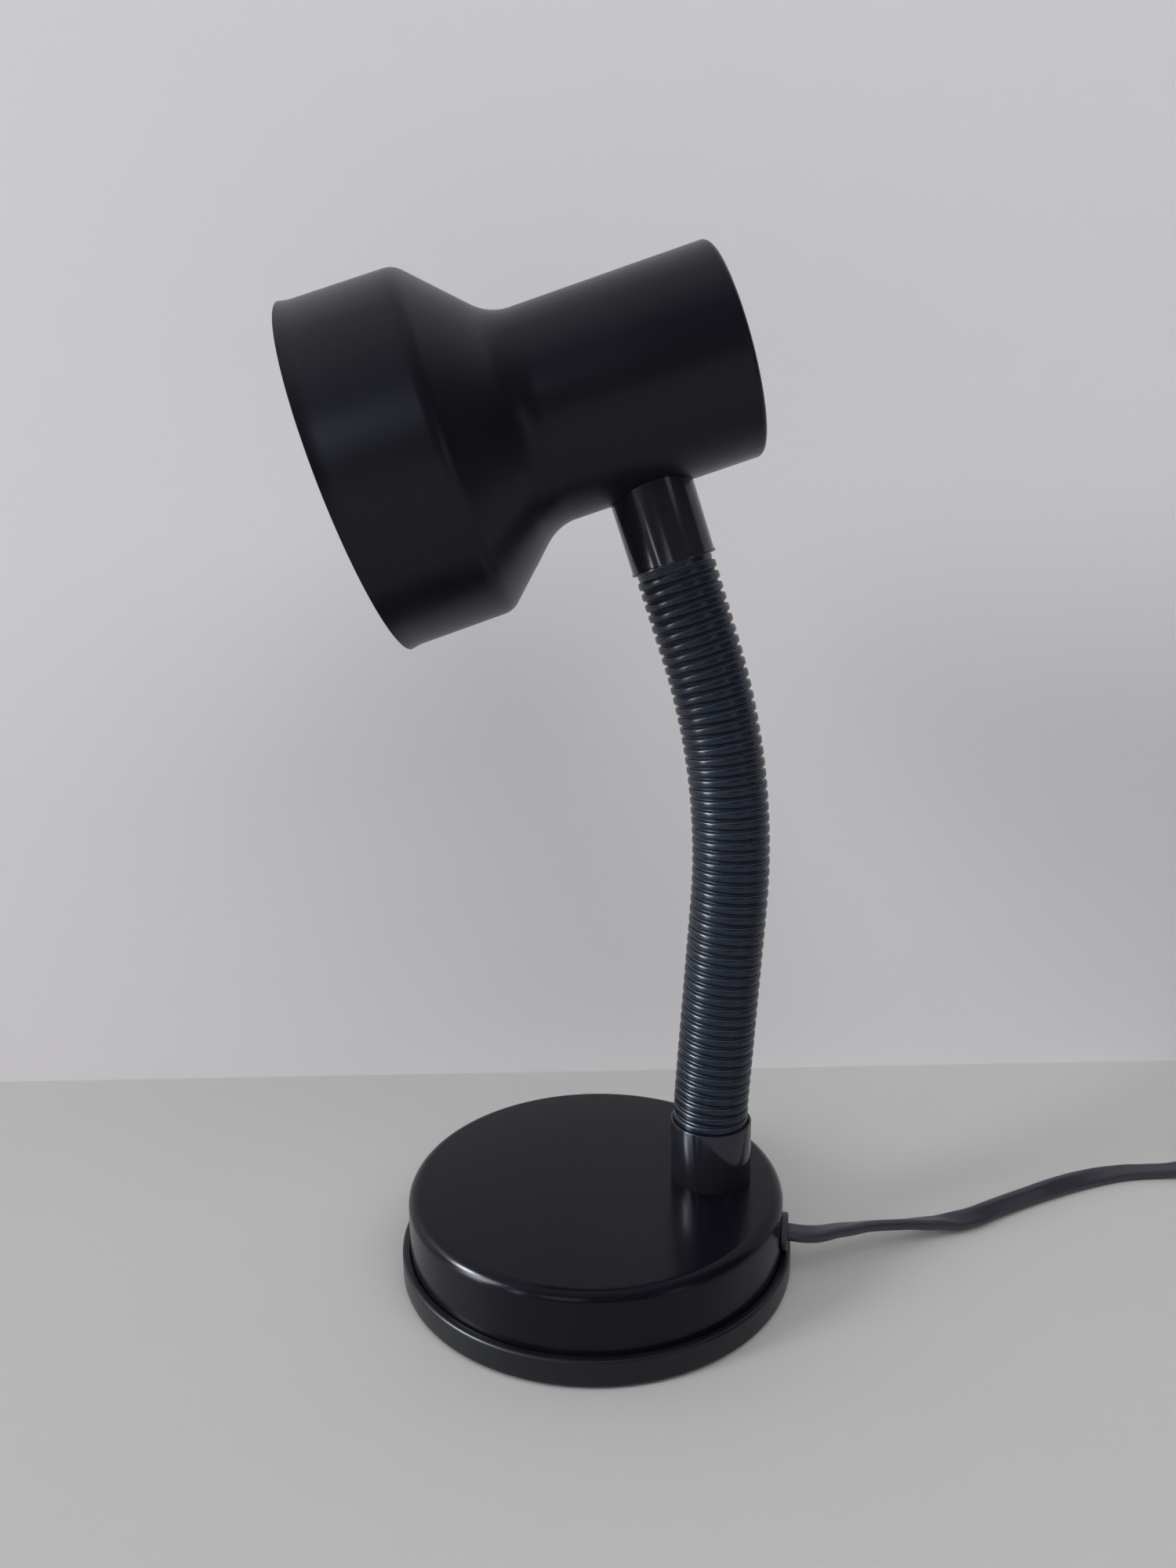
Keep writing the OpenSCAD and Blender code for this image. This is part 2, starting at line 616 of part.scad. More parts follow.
module bulb_glass() {
    glass_t = 0.9;
    start = cap_s + cap_len;
    middle = start + bulb_len - bulb_r;
    meet = -58;       // where the throat meets the ball, in degrees from the ball's equator
    throat = [[cap_r - 0.4, start], [cap_r, start + 4], [cap_r + 1.6, start + 8]];
    color([0.95, 0.95, 0.93, 0.6]) on_shade_axis() rotate_extrude() polygon(concat(
        throat,
        arc(bulb_r, meet, 90, 20, [0, middle]),
        arc(bulb_r - glass_t, 90, meet, 20, [0, middle]),
        [for (i = [2:-1:0]) throat[i] + [-glass_t, 0]]));
}

// ---- the lead inside the lamp ----

grommet_face = cover_r + grommet_t;
function clamp_point(out) =
    let (c = clamp_xy + out * unit(grommet_xy - clamp_xy)) [c[0], c[1], clamp_cord_z];
lead_in = [
    grommet_point(0), grommet_point(-7), clamp_point(3.5), clamp_point(-3),
    [neck_x + 3.2, -2.1, clamp_cord_z + 1],
    [neck_x + 0.6, -0.4, clamp_cord_z + 3.6],
    [neck_x, 0, lower_thread_end],
    [neck_x, 0, cover_h + 8]];
function head_point(p) = pivot(link_count + 1)
    + p[0] * [cos(lean_top), 0, -sin(lean_top)] + p[2] * [sin(lean_top), 0, cos(lean_top)];
lead_head = [
    [0, 0, core_head_top - 6], [0, 0, upper_thread_end], [1.2, 0, lead_z - 2.4],
    [4.5, 0, lead_z - 0.3], [9, 0, lead_z], [bracket_x + 1, 0, lead_z],
    [bracket_x + 4.5, 0, lead_z + 1.6], [bracket_x + 7, 0, lead_z + 6],
    [bracket_x + 6.8, 0, shade_up - 3.6], [bracket_x + 4.2, 0, shade_up - 0.6],
    [bracket_x + 1, 0, shade_up], [holder_x - 2.8, 0, shade_up]];
module neck_lead() {
    points = concat(lead_in, [for (k = [1:link_count + 1]) pivot(k)],
        [for (p = lead_head) head_point(p)]);
    across = [sin(-clamp_turn), cos(clamp_turn), 0] * -1;
    sides = [for (i = [0:len(points) - 1]) i < 2 ? [-sin(grommet_turn), cos(grommet_turn), 0]
        : i < 6 ? across : [0, 1, 0]];
    color([0.08, 0.08, 0.085]) tube(tube_rings(points, sides, cord_w - 0.2, cord_t - 0.2, 8));
}

// ---- cord ----

function grommet_point(out) =
    [(grommet_face + out) * cos(grommet_turn), (grommet_face + out) * sin(grommet_turn), grommet_h];
// The cord's route from the grommet to the switch, with the roll of its flat side in degrees
cord_route = [
    grommet_point(0), grommet_point(6.5), [80, -10.5, 13.2], [92.5, -3.4, 9.8],
    [104.7, 1.5, 7], [117, 5.4, 4.8], [129, 8.8, 3.8], [142.6, 15.6, 3.6], [156.5, 22.4, 3.6],
    [171, 29.3, 3.3], [185.5, 35.4, 2.6], [199.4, 39.4, 2.1], [210, 40.4, 1.95],
    [218, 40.2, 2.4], [226, 39.7, 4], [231, 39.5, 4.6], [237, 39.5, 4.6]];
cord_rolls = [0, 0, -15, -30, -30, -15, 35, 70, 75, 60, 40, 20, 8, 0, 0, 0, 0];
switch_x = 237;
switch_y = 39.5;
switch_cord_z = 4.6;
coil_at = [281, -26];
turn_r = 30;
coil_pitch = cord_w + coil_gap;
coil_out_r = coil_in_r + coil_pitch * coil_loops / 2;
coil_low_z = cord_t / 2 + 0.05;
coil_high_z = coil_low_z + cord_t + coil_gap;
coil_steps = 24;

module cord_tube(points, rolls) {
    color([0.06, 0.06, 0.065]) tube(tube_rings(points,
        [for (i = [0:len(points) - 1]) rolled(points, i, rolls[i])], cord_w, cord_t, 10));
}
module cord_run() { cord_tube(cord_route, cord_rolls); }

// From the switch the cord turns round to the coil's outer loop
tail_x = coil_at[0] + coil_out_r;
switch_end = switch_x + switch_len;
tail_route = concat(
    [[switch_end, switch_y, switch_cord_z], [switch_end + 6, switch_y, switch_cord_z - 0.2]],
    [for (p = arc(turn_r, 90, 0, 4, [tail_x - turn_r, switch_y - turn_r]))
        [p[0], p[1], p[0] < switch_end + 12 ? 3 : coil_low_z]],
    [[tail_x, (switch_y - turn_r + coil_at[1] + cord_w) / 2, coil_low_z],
     [tail_x, coil_at[1] + 2 * cord_w, coil_low_z], [tail_x, coil_at[1] + cord_w, coil_low_z]]);
module cord_tail() { cord_tube(tail_route, [for (p = tail_route) 0]); }

// The loops spiral in on the table and out again on top, and climb in the half turn between
coil_turn = 360 * coil_loops;
function coil_point(a) =
    let (r = coil_in_r + coil_pitch * abs(a - coil_turn / 2) / 360,
         rise = min(1, max(0, (a - coil_turn / 2 + 90) / 180)))
    [coil_at[0] + r * cos(a), coil_at[1] - r * sin(a),
     coil_low_z + (coil_high_z - coil_low_z) * rise * rise * (3 - 2 * rise)];
coil_route = concat(
    [[tail_x, coil_at[1] + cord_w, coil_low_z]],
    [for (i = [0:coil_loops * coil_steps]) coil_point(360 * i / coil_steps)],
    [coil_point(coil_turn) - [cord_w, 0, 0]]);
coil_rings = tube_rings(coil_route,
    [for (i = [0:len(coil_route) - 1]) rolled(coil_route, i, 0)], cord_w, cord_t, 6);
function ring_gap(a, b) = min([for (p = a, q = b) norm(p - q)]);
function coil_least_gap() = min([
    for (i = [0:len(coil_route) - 1], j = [i + coil_steps / 2:1:len(coil_route) - 1])
        if (norm(coil_route[i] - coil_route[j]) < 1.5 * cord_w) ring_gap(coil_rings[i], coil_rings[j])]);
module cord_coil() {
    echo(coil_least_gap = coil_least_gap());
    color([0.06, 0.06, 0.065]) tube(coil_rings);
}
coil_last = coil_route[len(coil_route) - 1];
plug_x = 232;
end_route = [coil_last, coil_last - [cord_w, 0, 0],
    [plug_x + cord_w, coil_last[1], plug_h / 2], [plug_x, coil_last[1], plug_h / 2]];
module cord_end() { cord_tube(end_route, [for (p = end_route) 0]); }

// ---- inline switch ----

shell = 1.8;          // wall of the switch's two shells
rocker_len = 14;
rocker_w = 9;
rocker_pin_r = 1.2;
rocker_low = 2.4;
rocker_high = 2.3;
cheek_w = 2.4;
rocker_at = [switch_x + switch_len / 2, switch_y, switch_h - 1.3];
switch_screw_at = [switch_len / 2 - 9, switch_w / 2 - 4.3];
module on_switch() { translate([switch_x + switch_len / 2, switch_y, 0]) children(); }
module at_switch_screws() {
    for (s = [-1, 1]) translate([s * switch_screw_at[0], s * switch_screw_at[1], 0]) children();
}
module switch_plan(inset) {
    r = 6 - inset;
    x = switch_len / 2 - 6;
    y = switch_w / 2 - 6;
    polygon(concat(arc(r, 0, 90, 6, [x, y]), arc(r, 90, 180, 6, [-x, y]),
        arc(r, 180, 270, 6, [-x, -y]), arc(r, 270, 360, 6, [x, -y])));
}
module switch_side(low, high, round_low, round_high) {
    x = switch_len / 2;
    rotate([90, 0, 0]) translate([0, 0, -switch_w]) linear_extrude(2 * switch_w) polygon(concat(
        arc(round_low, -90, 0, 5, [x - round_low, low + round_low]),
        arc(round_high, 0, 90, 5, [x - round_high, high - round_high]),
        arc(round_high, 90, 180, 5, [-x + round_high, high - round_high]),
        arc(round_low, 180, 270, 5, [-x + round_low, low + round_low])));
}
module switch_base() {
    color([0.04, 0.04, 0.045]) on_switch() difference() {
        union() {
            difference() {
                intersection() {
                    linear_extrude(switch_split) switch_plan(0);
                    switch_side(0, switch_split + 8, 1.5, 1.5);
                }
                translate([0, 0, shell]) linear_extrude(switch_h) switch_plan(shell);
            }
            at_switch_screws() cylinder(r = 2.6, h = switch_split);
        }
        translate([-switch_len, -cord_w / 2 - clear, switch_cord_z - cord_t / 2 - clear])
            cube([2 * switch_len, cord_w + 2 * clear, switch_h]);
        at_switch_screws() {
            translate([0, 0, -1]) cylinder(r = 1.3, h = switch_h);
            translate([0, 0, -1]) cylinder(r = 2.2, h = 2.2);
        }
    }
}
module rocker_hole(grow) {
    translate([-rocker_len / 2 - grow, -rocker_w / 2 - clear, 0])
        cube([rocker_len + 2 * grow, rocker_w + 2 * clear, switch_h + 1]);
}
module switch_cover() {
    cheek_y = rocker_w / 2 + clear;
    cheek_h = 4;
    color([0.04, 0.04, 0.045]) difference() {
        on_switch() difference() {
            union() {
                difference() {
                    intersection() {
                        translate([0, 0, switch_split]) linear_extrude(switch_h) switch_plan(0);
                        switch_side(switch_split - 8, switch_h, 1.5, 3);
                    }
                    translate([0, 0, switch_split - 1])
                        linear_extrude(switch_h - shell - switch_split + 1) switch_plan(shell);
                }
                for (s = [-1, 1]) translate([-3, s * (cheek_y + cheek_w / 2) - cheek_w / 2, switch_h - shell - cheek_h])
                    cube([6, cheek_w, cheek_h + shell / 2]);
                at_switch_screws() translate([0, 0, switch_split])
                    cylinder(r = 2.6, h = switch_h - switch_split - shell / 2);
            }
            rocker_hole(0.6);
            at_switch_screws() cylinder(r = 1.2, h = switch_h - shell);
        }
        translate(rocker_at) rotate([90, 0, 0]) translate([0, 0, -switch_w / 2 + shell])
            cylinder(r = rocker_pin_r + 0.05, h = switch_w - 2 * shell);
    }
}
module switch_rocker() {
    color([0.05, 0.05, 0.055]) translate(rocker_at) rotate([0, -rocker_range / 2, 0]) {
        rotate([90, 0, 0]) translate([0, 0, -rocker_w / 2]) linear_extrude(rocker_w) polygon([
            [-rocker_len / 2, rocker_high], [-rocker_len / 2 + 1.5, -rocker_low],
            [rocker_len / 2 - 1.5, -rocker_low], [rocker_len / 2, rocker_high],
            [0.5, rocker_high - 1.2], [-0.5, rocker_high - 1.2]]);
        rotate([90, 0, 0]) translate([0, 0, -rocker_w / 2 - cheek_w])
            cylinder(r = rocker_pin_r, h = rocker_w + 2 * cheek_w);
    }
}
module switch_screws() {
    color([0.6, 0.6, 0.62]) on_switch() at_switch_screws() translate([0, 0, 0.2])
        screw(2, 0.9, 1.1, switch_h - shell - 1);
}
module switch_contacts() {
    strip = 0.8;
    color([0.85, 0.65, 0.25]) on_switch() for (s = [-1, 1])
        translate([s * 9 - 3.5, -3, shell + eps]) {
            cube([7, 6, strip]);
            translate([3.5 - strip / 2, 0, 0]) cube([strip, 6, 3.4]);
        }
}

// ---- plug ----

module plug_body() {
    taper = 9;
    nose = 4;
    half = plug_w / 2;
    rear = 6;
    color([0.04, 0.04, 0.045]) translate([plug_x, coil_last[1], 0]) difference() {
        intersection() {
            linear_extrude(plug_h) polygon([
                [0, -rear], [-taper, -half], [-plug_len + nose, -half], [-plug_len, -half + nose],
                [-plug_len, half - nose], [-plug_len + nose, half], [-taper, half], [0, rear]]);
            rotate([90, 0, 0]) translate([0, 0, -plug_w]) linear_extrude(2 * plug_w) polygon(concat(
                arc(2, -90, 0, 4, [-2, 2]), arc(2, 0, 90, 4, [-2, plug_h - 2]),
                arc(2, 90, 180, 4, [-plug_len + 2, plug_h - 2]), arc(2, 180, 270, 4, [-plug_len + 2, 2])));
        }
        for (s = [-1, 1]) translate([-plug_len + 8, s * pin_gap / 2, plug_h / 2]) rotate([0, -90, 0])
            cylinder(r = pin_r + fit, h = 12);
    }
}
module plug_pins() {
    color([0.75, 0.75, 0.77]) for (s = [-1, 1])
        translate([plug_x - plug_len + 8, coil_last[1] + s * pin_gap / 2, plug_h / 2])
            rotate([0, -90, 0]) union() {
                cylinder(r = pin_r, h = 8 + pin_len - 1);
                translate([0, 0, 7 + pin_len]) cylinder(r1 = pin_r, r2 = pin_r - 0.8, h = 1);
            }
}

base_cover();
base_pan();
ballast();
base_pad();
cover_posts();
base_screws();
lower_collar();
lower_nipple();
lower_washer();
lower_nut();
grommet();
cord_clamp();
clamp_screws();
neck_lead();
sleeve_foot();
core_foot();
for (k = [1:link_count])
    neck_sleeve(k);
for (k = [1:link_count])
    neck_core(k);
sleeve_head();
core_head();
upper_collar();
upper_nipple();
upper_nut();
holder_bracket();
holder_screws();
shade();
shade_back_can();  // shade_can
lampholder();
holder_contacts();
bulb_cap();
bulb_glass();
cord_run();
switch_base();
switch_cover();
switch_rocker();
switch_screws();
switch_contacts();
cord_tail();
cord_coil();
cord_end();
plug_body();
plug_pins();
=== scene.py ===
import json
import math

import bpy
from bpy.props import FloatProperty, FloatVectorProperty, IntProperty, PointerProperty
from mathutils import Matrix, Vector


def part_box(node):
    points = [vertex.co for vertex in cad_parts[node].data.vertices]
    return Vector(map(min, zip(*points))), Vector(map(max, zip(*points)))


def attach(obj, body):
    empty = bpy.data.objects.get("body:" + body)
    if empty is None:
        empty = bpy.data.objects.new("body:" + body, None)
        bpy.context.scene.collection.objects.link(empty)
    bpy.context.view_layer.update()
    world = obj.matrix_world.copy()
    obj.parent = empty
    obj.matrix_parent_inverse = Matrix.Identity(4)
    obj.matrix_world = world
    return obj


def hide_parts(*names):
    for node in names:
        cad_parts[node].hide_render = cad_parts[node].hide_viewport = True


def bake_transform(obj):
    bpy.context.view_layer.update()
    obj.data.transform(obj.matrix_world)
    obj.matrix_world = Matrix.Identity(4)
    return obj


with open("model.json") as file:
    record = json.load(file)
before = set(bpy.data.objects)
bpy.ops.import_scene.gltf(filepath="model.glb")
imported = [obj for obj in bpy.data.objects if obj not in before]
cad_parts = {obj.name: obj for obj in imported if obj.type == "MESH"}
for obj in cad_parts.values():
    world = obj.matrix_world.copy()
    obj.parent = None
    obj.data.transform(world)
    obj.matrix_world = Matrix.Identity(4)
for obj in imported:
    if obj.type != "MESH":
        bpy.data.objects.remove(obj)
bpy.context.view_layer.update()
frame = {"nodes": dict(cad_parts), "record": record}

bl_info = {
    "name": "Gooseneck desk lamp",
    "version": (1, 0, 0),
    "blender": (4, 5, 0),
    "location": "View3D > Sidebar > Desk lamp",
    "description": "Builds a gooseneck desk lamp with its cord, switch and plug",
    "category": "Add Mesh",
}

MM = 0.001
JOINTS = frame["record"]["behaviour"]["joints"]
LINKS = 10             # the neck's bodies between the base and the head
NECK_BODIES = ["base"] + [f"link_{k:02d}" for k in range(1, LINKS + 1)] + ["head"]
PIVOTS = [
    Vector(joint["pos_m"])
    for body in NECK_BODIES[1:] for joint in JOINTS if joint["child"] == body
]
LINK = (PIVOTS[1] - PIVOTS[0]).length
RIGHT_ANGLE = math.radians(90)
ALONG_X = (0, RIGHT_ANGLE, 0)
ALONG_Y = (RIGHT_ANGLE, 0, 0)
DOUBLES = 0.002 * MM   # points closer than this are one


def low(node, axis):
    return float(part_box(node)[0][axis])


def high(node, axis):
    return float(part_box(node)[1][axis])


def half_of(node, axis):
    return (high(node, axis) - low(node, axis)) / 2


def middle_of(node, axis):
    return (low(node, axis) + high(node, axis)) / 2


# ---- settings


def setting(unit, name, description, default):
    return FloatProperty(name=name, description=description, default=default, unit=unit)


def length_setting(name, description, default_mm):
    return setting("LENGTH", name, description, default_mm * MM)


def angle_setting(name, description, default):
    return setting("ROTATION", name, description, default)


def colour_setting(name, description, *default):
    return FloatVectorProperty(
        name=name, description=description, default=default, size=3, subtype="COLOR"
    )


def place_setting(name, description, *default):
    return FloatVectorProperty(
        name=name, description=description, default=default, size=3, subtype="XYZ_LENGTH"
    )


class LampSizes(bpy.types.PropertyGroup):
    """Sizes of the lamp's visible pieces"""

    wall: length_setting("Wall", "Thickness of the pressed steel", 0.9)
    cover_round: length_setting("Cover shoulder", "Radius of the cover's shoulder", 3.9)
    pan_rim: length_setting("Pan rim", "Thickness of the pan's rim", 2.6)
    rib_radius: length_setting("Rib radius", "Radius over the sleeve's ribs", 12.3)
    root_radius: length_setting("Root radius", "Radius between the sleeve's ribs", 11.2)
    groove: length_setting("Groove", "Width of the groove between two ribs", 0.85)
    ribs_per_link: IntProperty(
        name="Ribs per link", description="Ribs between two bending points", default=5, min=1
    )
    cord_width: length_setting("Cord width", "Width of the flat cord", 6.8)
    cord_thickness: length_setting("Cord thickness", "Thickness of the flat cord", 3.8)
    lean_top: angle_setting(
        "Head lean", "Lean of the upper collar from the vertical", math.radians(-17.5)
    )
    shade_up: length_setting(
        "Shade height", "From the top bending point to the shade's axis", 61.5
    )
    shade_back: length_setting(
        "Shade back", "From the collar's axis to the shade's back face", 35
    )
    shade_length: length_setting("Shade length", "Length of the shade", 119)
    narrow_radius: length_setting("Narrow radius", "Radius of the shade's narrow part", 31)
    wide_radius: length_setting(
        "Wide radius", "Radius where the shade's wide part begins", 50.9
    )
    mouth_radius: length_setting("Mouth radius", "Radius of the shade's mouth", 52)
    flare_radius: length_setting(
        "Flare radius", "Radius where the flare at the shade's mouth begins", 51.4
    )
    flare_length: length_setting(
        "Flare length", "Length of the flare at the shade's mouth", 4.5
    )


class LampColours(bpy.types.PropertyGroup):
    """Colours of the lamp's finishes"""

    enamel: colour_setting(
        "Enamel", "Satin black paint on the shade and the base cover", 0.0045, 0.0043, 0.0075
    )
    lining: colour_setting("Lining", "White paint inside the shade", 0.72, 0.71, 0.68)
    sleeve: colour_setting(
        "Sleeve", "Blue-black plastic of the ribbed sleeve", 0.008, 0.0112, 0.0205
    )
    collar: colour_setting("Collars", "Gloss black plastic of the collars", 0.015, 0.015, 0.02)
    moulded: colour_setting(
        "Moulded plastic", "Black plastic of the pan, switch and plug", 0.014, 0.014, 0.019
    )
    cord: colour_setting("Cord", "Black plastic of the cord", 0.024, 0.024, 0.032)


class LampStage(bpy.types.PropertyGroup):
    """The camera, the floor, the backdrop and the light"""

    camera_place: place_setting(
        "Camera", "Where the camera stands", -2.311 * MM, -333.43 * MM, 224.644 * MM
    )
    yaw: angle_setting("Yaw", "The camera's turn to the right", 0.0058)
    pitch: angle_setting("Pitch", "How far the camera looks down", 0.1839)
    roll: angle_setting("Roll", "The camera's turn about its own view line", -0.0158)
    lens: setting("CAMERA", "Lens", "The camera's focal length", 24.771)
    wall_distance: length_setting(
        "Backdrop", "Distance of the backdrop behind the lamp's middle", 139
    )
    window_place: place_setting("Window", "Where the soft key light stands", -2.71, -1.16, 1.39)
    window_power: setting("POWER", "Window power", "Power of the soft key light", 9.8)
    fill_place: place_setting("Fill", "Where the fill light for the room stands", 0.45, -1.2, 1.5)
    fill_power: setting("POWER", "Fill power", "Power of the fill light", 19.5)
    floor_colour: colour_setting("Floor", "Colour of the floor", 0.506, 0.492, 0.485)
    wall_colour: colour_setting("Backdrop colour", "Colour of the backdrop", 0.738, 0.716, 0.723)


def sizes():
    return bpy.context.scene.lamp_sizes


# ---- shader maths

SMOOTH_STEP = {"interpolation_type": "SMOOTHSTEP"}


class Value:
    """A socket of a material's nodes. An expression on values adds its Math nodes."""

    def __init__(self, shader, socket):
        self.shader = shader
        self.socket = socket

    def maths(self, operation, a, b):
        return self.shader.node("ShaderNodeMath", {"operation": operation}, {0: a, 1: b})

    def __add__(self, other):
        return self.maths("ADD", self, other)

    __radd__ = __add__

    def __rsub__(self, other):
        return self.maths("SUBTRACT", other, self)

    def __mul__(self, other):
        return self.maths("MULTIPLY", self, other)

    __rmul__ = __mul__

    def above(self, limit, soft):
        """0 below the limit, 1 above it, over a soft step."""
        return self.shader.node(
            "ShaderNodeMapRange", SMOOTH_STEP, {0: self, 1: limit - soft, 2: limit + soft}
        )


class Nodes:
    """A tree of nodes, with short calls that add nodes and feed their sockets."""

    def __init__(self, tree):
        self.tree = tree

    def feed(self, node, name, value):
        if isinstance(value, Value):
            self.tree.links.new(value.socket, node.inputs[name])
        elif isinstance(value, (tuple, list)) and node.inputs[name].type == "RGBA":
            node.inputs[name].default_value = (*value, 1)
        else:
            node.inputs[name].default_value = value

    def node(self, kind, settings=None, sockets=None, output=0):
        node = self.tree.nodes.new(kind)
        for name, value in (settings or {}).items():
            setattr(node, name, value)
        for name, value in (sockets or {}).items():
            self.feed(node, name, value)
        return Value(self, node.outputs[output])


class Shader(Nodes):
    """One material, with the few kinds of node that this lamp's finishes need."""

    def __init__(self, name):
        self.material = bpy.data.materials.new(name)
        self.material.use_nodes = True
        super().__init__(self.material.node_tree)
        self.surface = self.tree.nodes["Principled BSDF"]
        self.place = self.node("ShaderNodeTexCoord", output="Object")

    def noise(self, size, detail, stretch=(1, 1, 1)):
        """Noise from 0 to 1 with features of that size in metres."""
        where = self.node(
            "ShaderNodeVectorMath", {"operation": "MULTIPLY"}, {0: self.place, 1: stretch}
        )
        return self.node(
            "ShaderNodeTexNoise", {}, {"Vector": where, "Scale": 1 / size, "Detail": detail}
        )

    def specks(self, spacing, share, size):
        """1 on a few round specks, 0 elsewhere. The size is a share of the spacing."""
        grid = {"Vector": self.place, "Scale": 1 / spacing}
        distance = self.node("ShaderNodeTexVoronoi", {}, grid, "Distance")
        chance = self.node("ShaderNodeTexVoronoi", {}, grid, "Color")
        return (1 - distance.above(size, size / 3)) * chance.above(1 - share, 0.01)

    def mix(self, share, a, b):
        return self.node("ShaderNodeMix", {"data_type": "RGBA"}, {0: share, 6: a, 7: b}, 2)

    def bump(self, height, depth, strength, under=None):
        sockets = {"Height": height, "Distance": depth, "Strength": strength}
        if under:
            sockets["Normal"] = under
        return self.node("ShaderNodeBump", {}, sockets)

    def finish(self, **sockets):
        for name, value in sockets.items():
            self.feed(self.surface, name.replace("_", " "), value)
        return self.material


COOL_TINT = (0.86, 0.91, 1.0)
DUST_COLOUR = (0.09, 0.085, 0.08)
# Painted highlight along the sleeve's rib edges, also painted more faintly into the grooves
RIB_HIGHLIGHT_PAINT = (0.045, 0.052, 0.068)


def lighter(colour, factor):
    return tuple(channel * factor for channel in colour)


def enamel(name, colour, roughness, shine=0.26, peel_depth=0.005):
    """Sprayed paint: a fine orange peel, slightly uneven gloss and a little dust."""
    paint = Shader(name)
    cloud = paint.noise(28 * MM, 3)
    peel = paint.noise(1.1 * MM, 2)
    grain = paint.noise(0.25 * MM, 1)
    dust = paint.specks(spacing=9 * MM, share=0.15, size=0.014)
    tone = paint.mix(cloud, lighter(colour, 0.85), lighter(colour, 1.15))
    coarse = paint.bump(peel, peel_depth * MM, 0.3)
    return paint.finish(
        Base_Color=paint.mix(dust, tone, DUST_COLOUR),
        Roughness=roughness - 0.04 + 0.08 * cloud + 0.25 * dust,
        Normal=paint.bump(grain, 0.0015 * MM, 0.3, coarse),
        Specular_IOR_Level=shine,
        Specular_Tint=COOL_TINT,
    )


def plastic(name, colour, roughness, grain_depth=0.002, shine=0.5):
    """Moulded plastic: an even colour with a fine grain and faint flow marks."""
    mould = Shader(name)
    flow = mould.noise(12 * MM, 2, (1, 1, 0.3))
    grain = mould.noise(0.6 * MM, 2)
    tone = mould.mix(flow, lighter(colour, 0.88), lighter(colour, 1.12))
    return mould.finish(
        Base_Color=tone,
        Roughness=roughness - 0.03 + 0.06 * flow,
        Normal=mould.bump(grain, grain_depth * MM, 0.5),
        Specular_IOR_Level=shine,
        Specular_Tint=COOL_TINT,
    )


def ribbed_sleeve(name, colour):
    """Glossy soft plastic, with a highlight painted along the upper edge of each rib and light
    painted into the grooves' shade.
    """
    hose = Shader(name)
    edge = hose.node("ShaderNodeAttribute", {"attribute_name": "rib_edge"}, output="Fac")
    wear = hose.noise(4 * MM, 3)
    grain = hose.noise(0.7 * MM, 2)
    # The painted highlight on the rib edges and the painted light in the grooves, unevenly strong
    line = edge * (0.45 + 0.9 * wear)
    tone = hose.mix(wear, lighter(colour, 0.8), lighter(colour, 1.2))
    return hose.finish(
        Base_Color=hose.mix(line, tone, RIB_HIGHLIGHT_PAINT),
        Roughness=0.21 + 0.07 * wear + 0.2 * edge,
        Normal=hose.bump(grain, 0.002 * MM, 0.4),
        Specular_IOR_Level=0.42,
        Specular_Tint=(0.8, 0.9, 1.0),
    )


def metal(name, colour, roughness, metallic=1.0, depth=0.004):
    """Bare or plated metal with fine scratches and uneven gloss."""
    plate = Shader(name)
    cloud = plate.noise(6 * MM, 3)
    lines = plate.noise(0.5 * MM, 3, (1, 1, 0.15))
    return plate.finish(
        Base_Color=plate.mix(cloud, lighter(colour, 0.85), lighter(colour, 1.05)),
        Metallic=metallic,
        Roughness=roughness - 0.05 + 0.12 * lines,
        Normal=plate.bump(lines, depth * MM, 0.5),
    )


FINISHES = {}


def finishes():
    """Every finish of the lamp, by the name of its slot in the record."""
    if FINISHES:
        return FINISHES
    for old in list(bpy.data.materials):
        old.name = "as_packed_" + old.name
    tint = bpy.context.scene.lamp_colours
    enamel("metal_black", tint.enamel, 0.33, 0.3)
    enamel("cover_black", tint.enamel, 0.2, 0.2, 0.002)
    enamel("shade_lining", tint.lining, 0.5)
    plastic("pan_plastic", lighter(tint.moulded, 0.5), 0.34, shine=0.35)
    plastic("foot_foam", (0.03, 0.03, 0.03), 0.85, 0.05)
    metal("iron", (0.16, 0.16, 0.16), 0.65, 0.8, 0.06)
    metal("steel", (0.62, 0.62, 0.62), 0.32)
    metal("core_steel", (0.45, 0.45, 0.46), 0.38)
    ribbed_sleeve("sleeve_pvc", tint.sleeve)
    plastic("collar_gloss", tint.collar, 0.14, 0.0006)
    plastic("cord_pvc", tint.cord, 0.42, shine=0.7)
    plastic("clamp_nylon", (0.6, 0.6, 0.56), 0.4)
    plastic("holder_white", (0.78, 0.77, 0.72), 0.28)
    metal("contact_brass", (0.78, 0.57, 0.25), 0.28)
    metal("cap_metal", (0.75, 0.72, 0.62), 0.3)
    plastic("bulb_opal", (0.86, 0.86, 0.84), 0.3, 0.001)
    plastic("fitting_black", tint.moulded, 0.4)
    metal("pin_nickel", (0.72, 0.71, 0.68), 0.22)
    for made in bpy.data.materials:
        FINISHES[made.name] = made
    return FINISHES


# ---- modelling by hand


def only(obj):
    bpy.ops.object.select_all(action="DESELECT")
    obj.select_set(True)
    bpy.context.view_layer.objects.active = obj


def added(operator, **settings):
    """The object that an operator adds, with nothing else selected."""
    bpy.ops.object.select_all(action="DESELECT")
    operator(**settings)
    return bpy.context.active_object


def arc(radius, start, end, steps, middle):
    """Points along an arc, with its angles in degrees."""
    turn = [math.radians(start + (end - start) * i / steps) for i in range(steps + 1)]
    return [(middle[0] + radius * math.cos(a), middle[1] + radius * math.sin(a)) for a in turn]


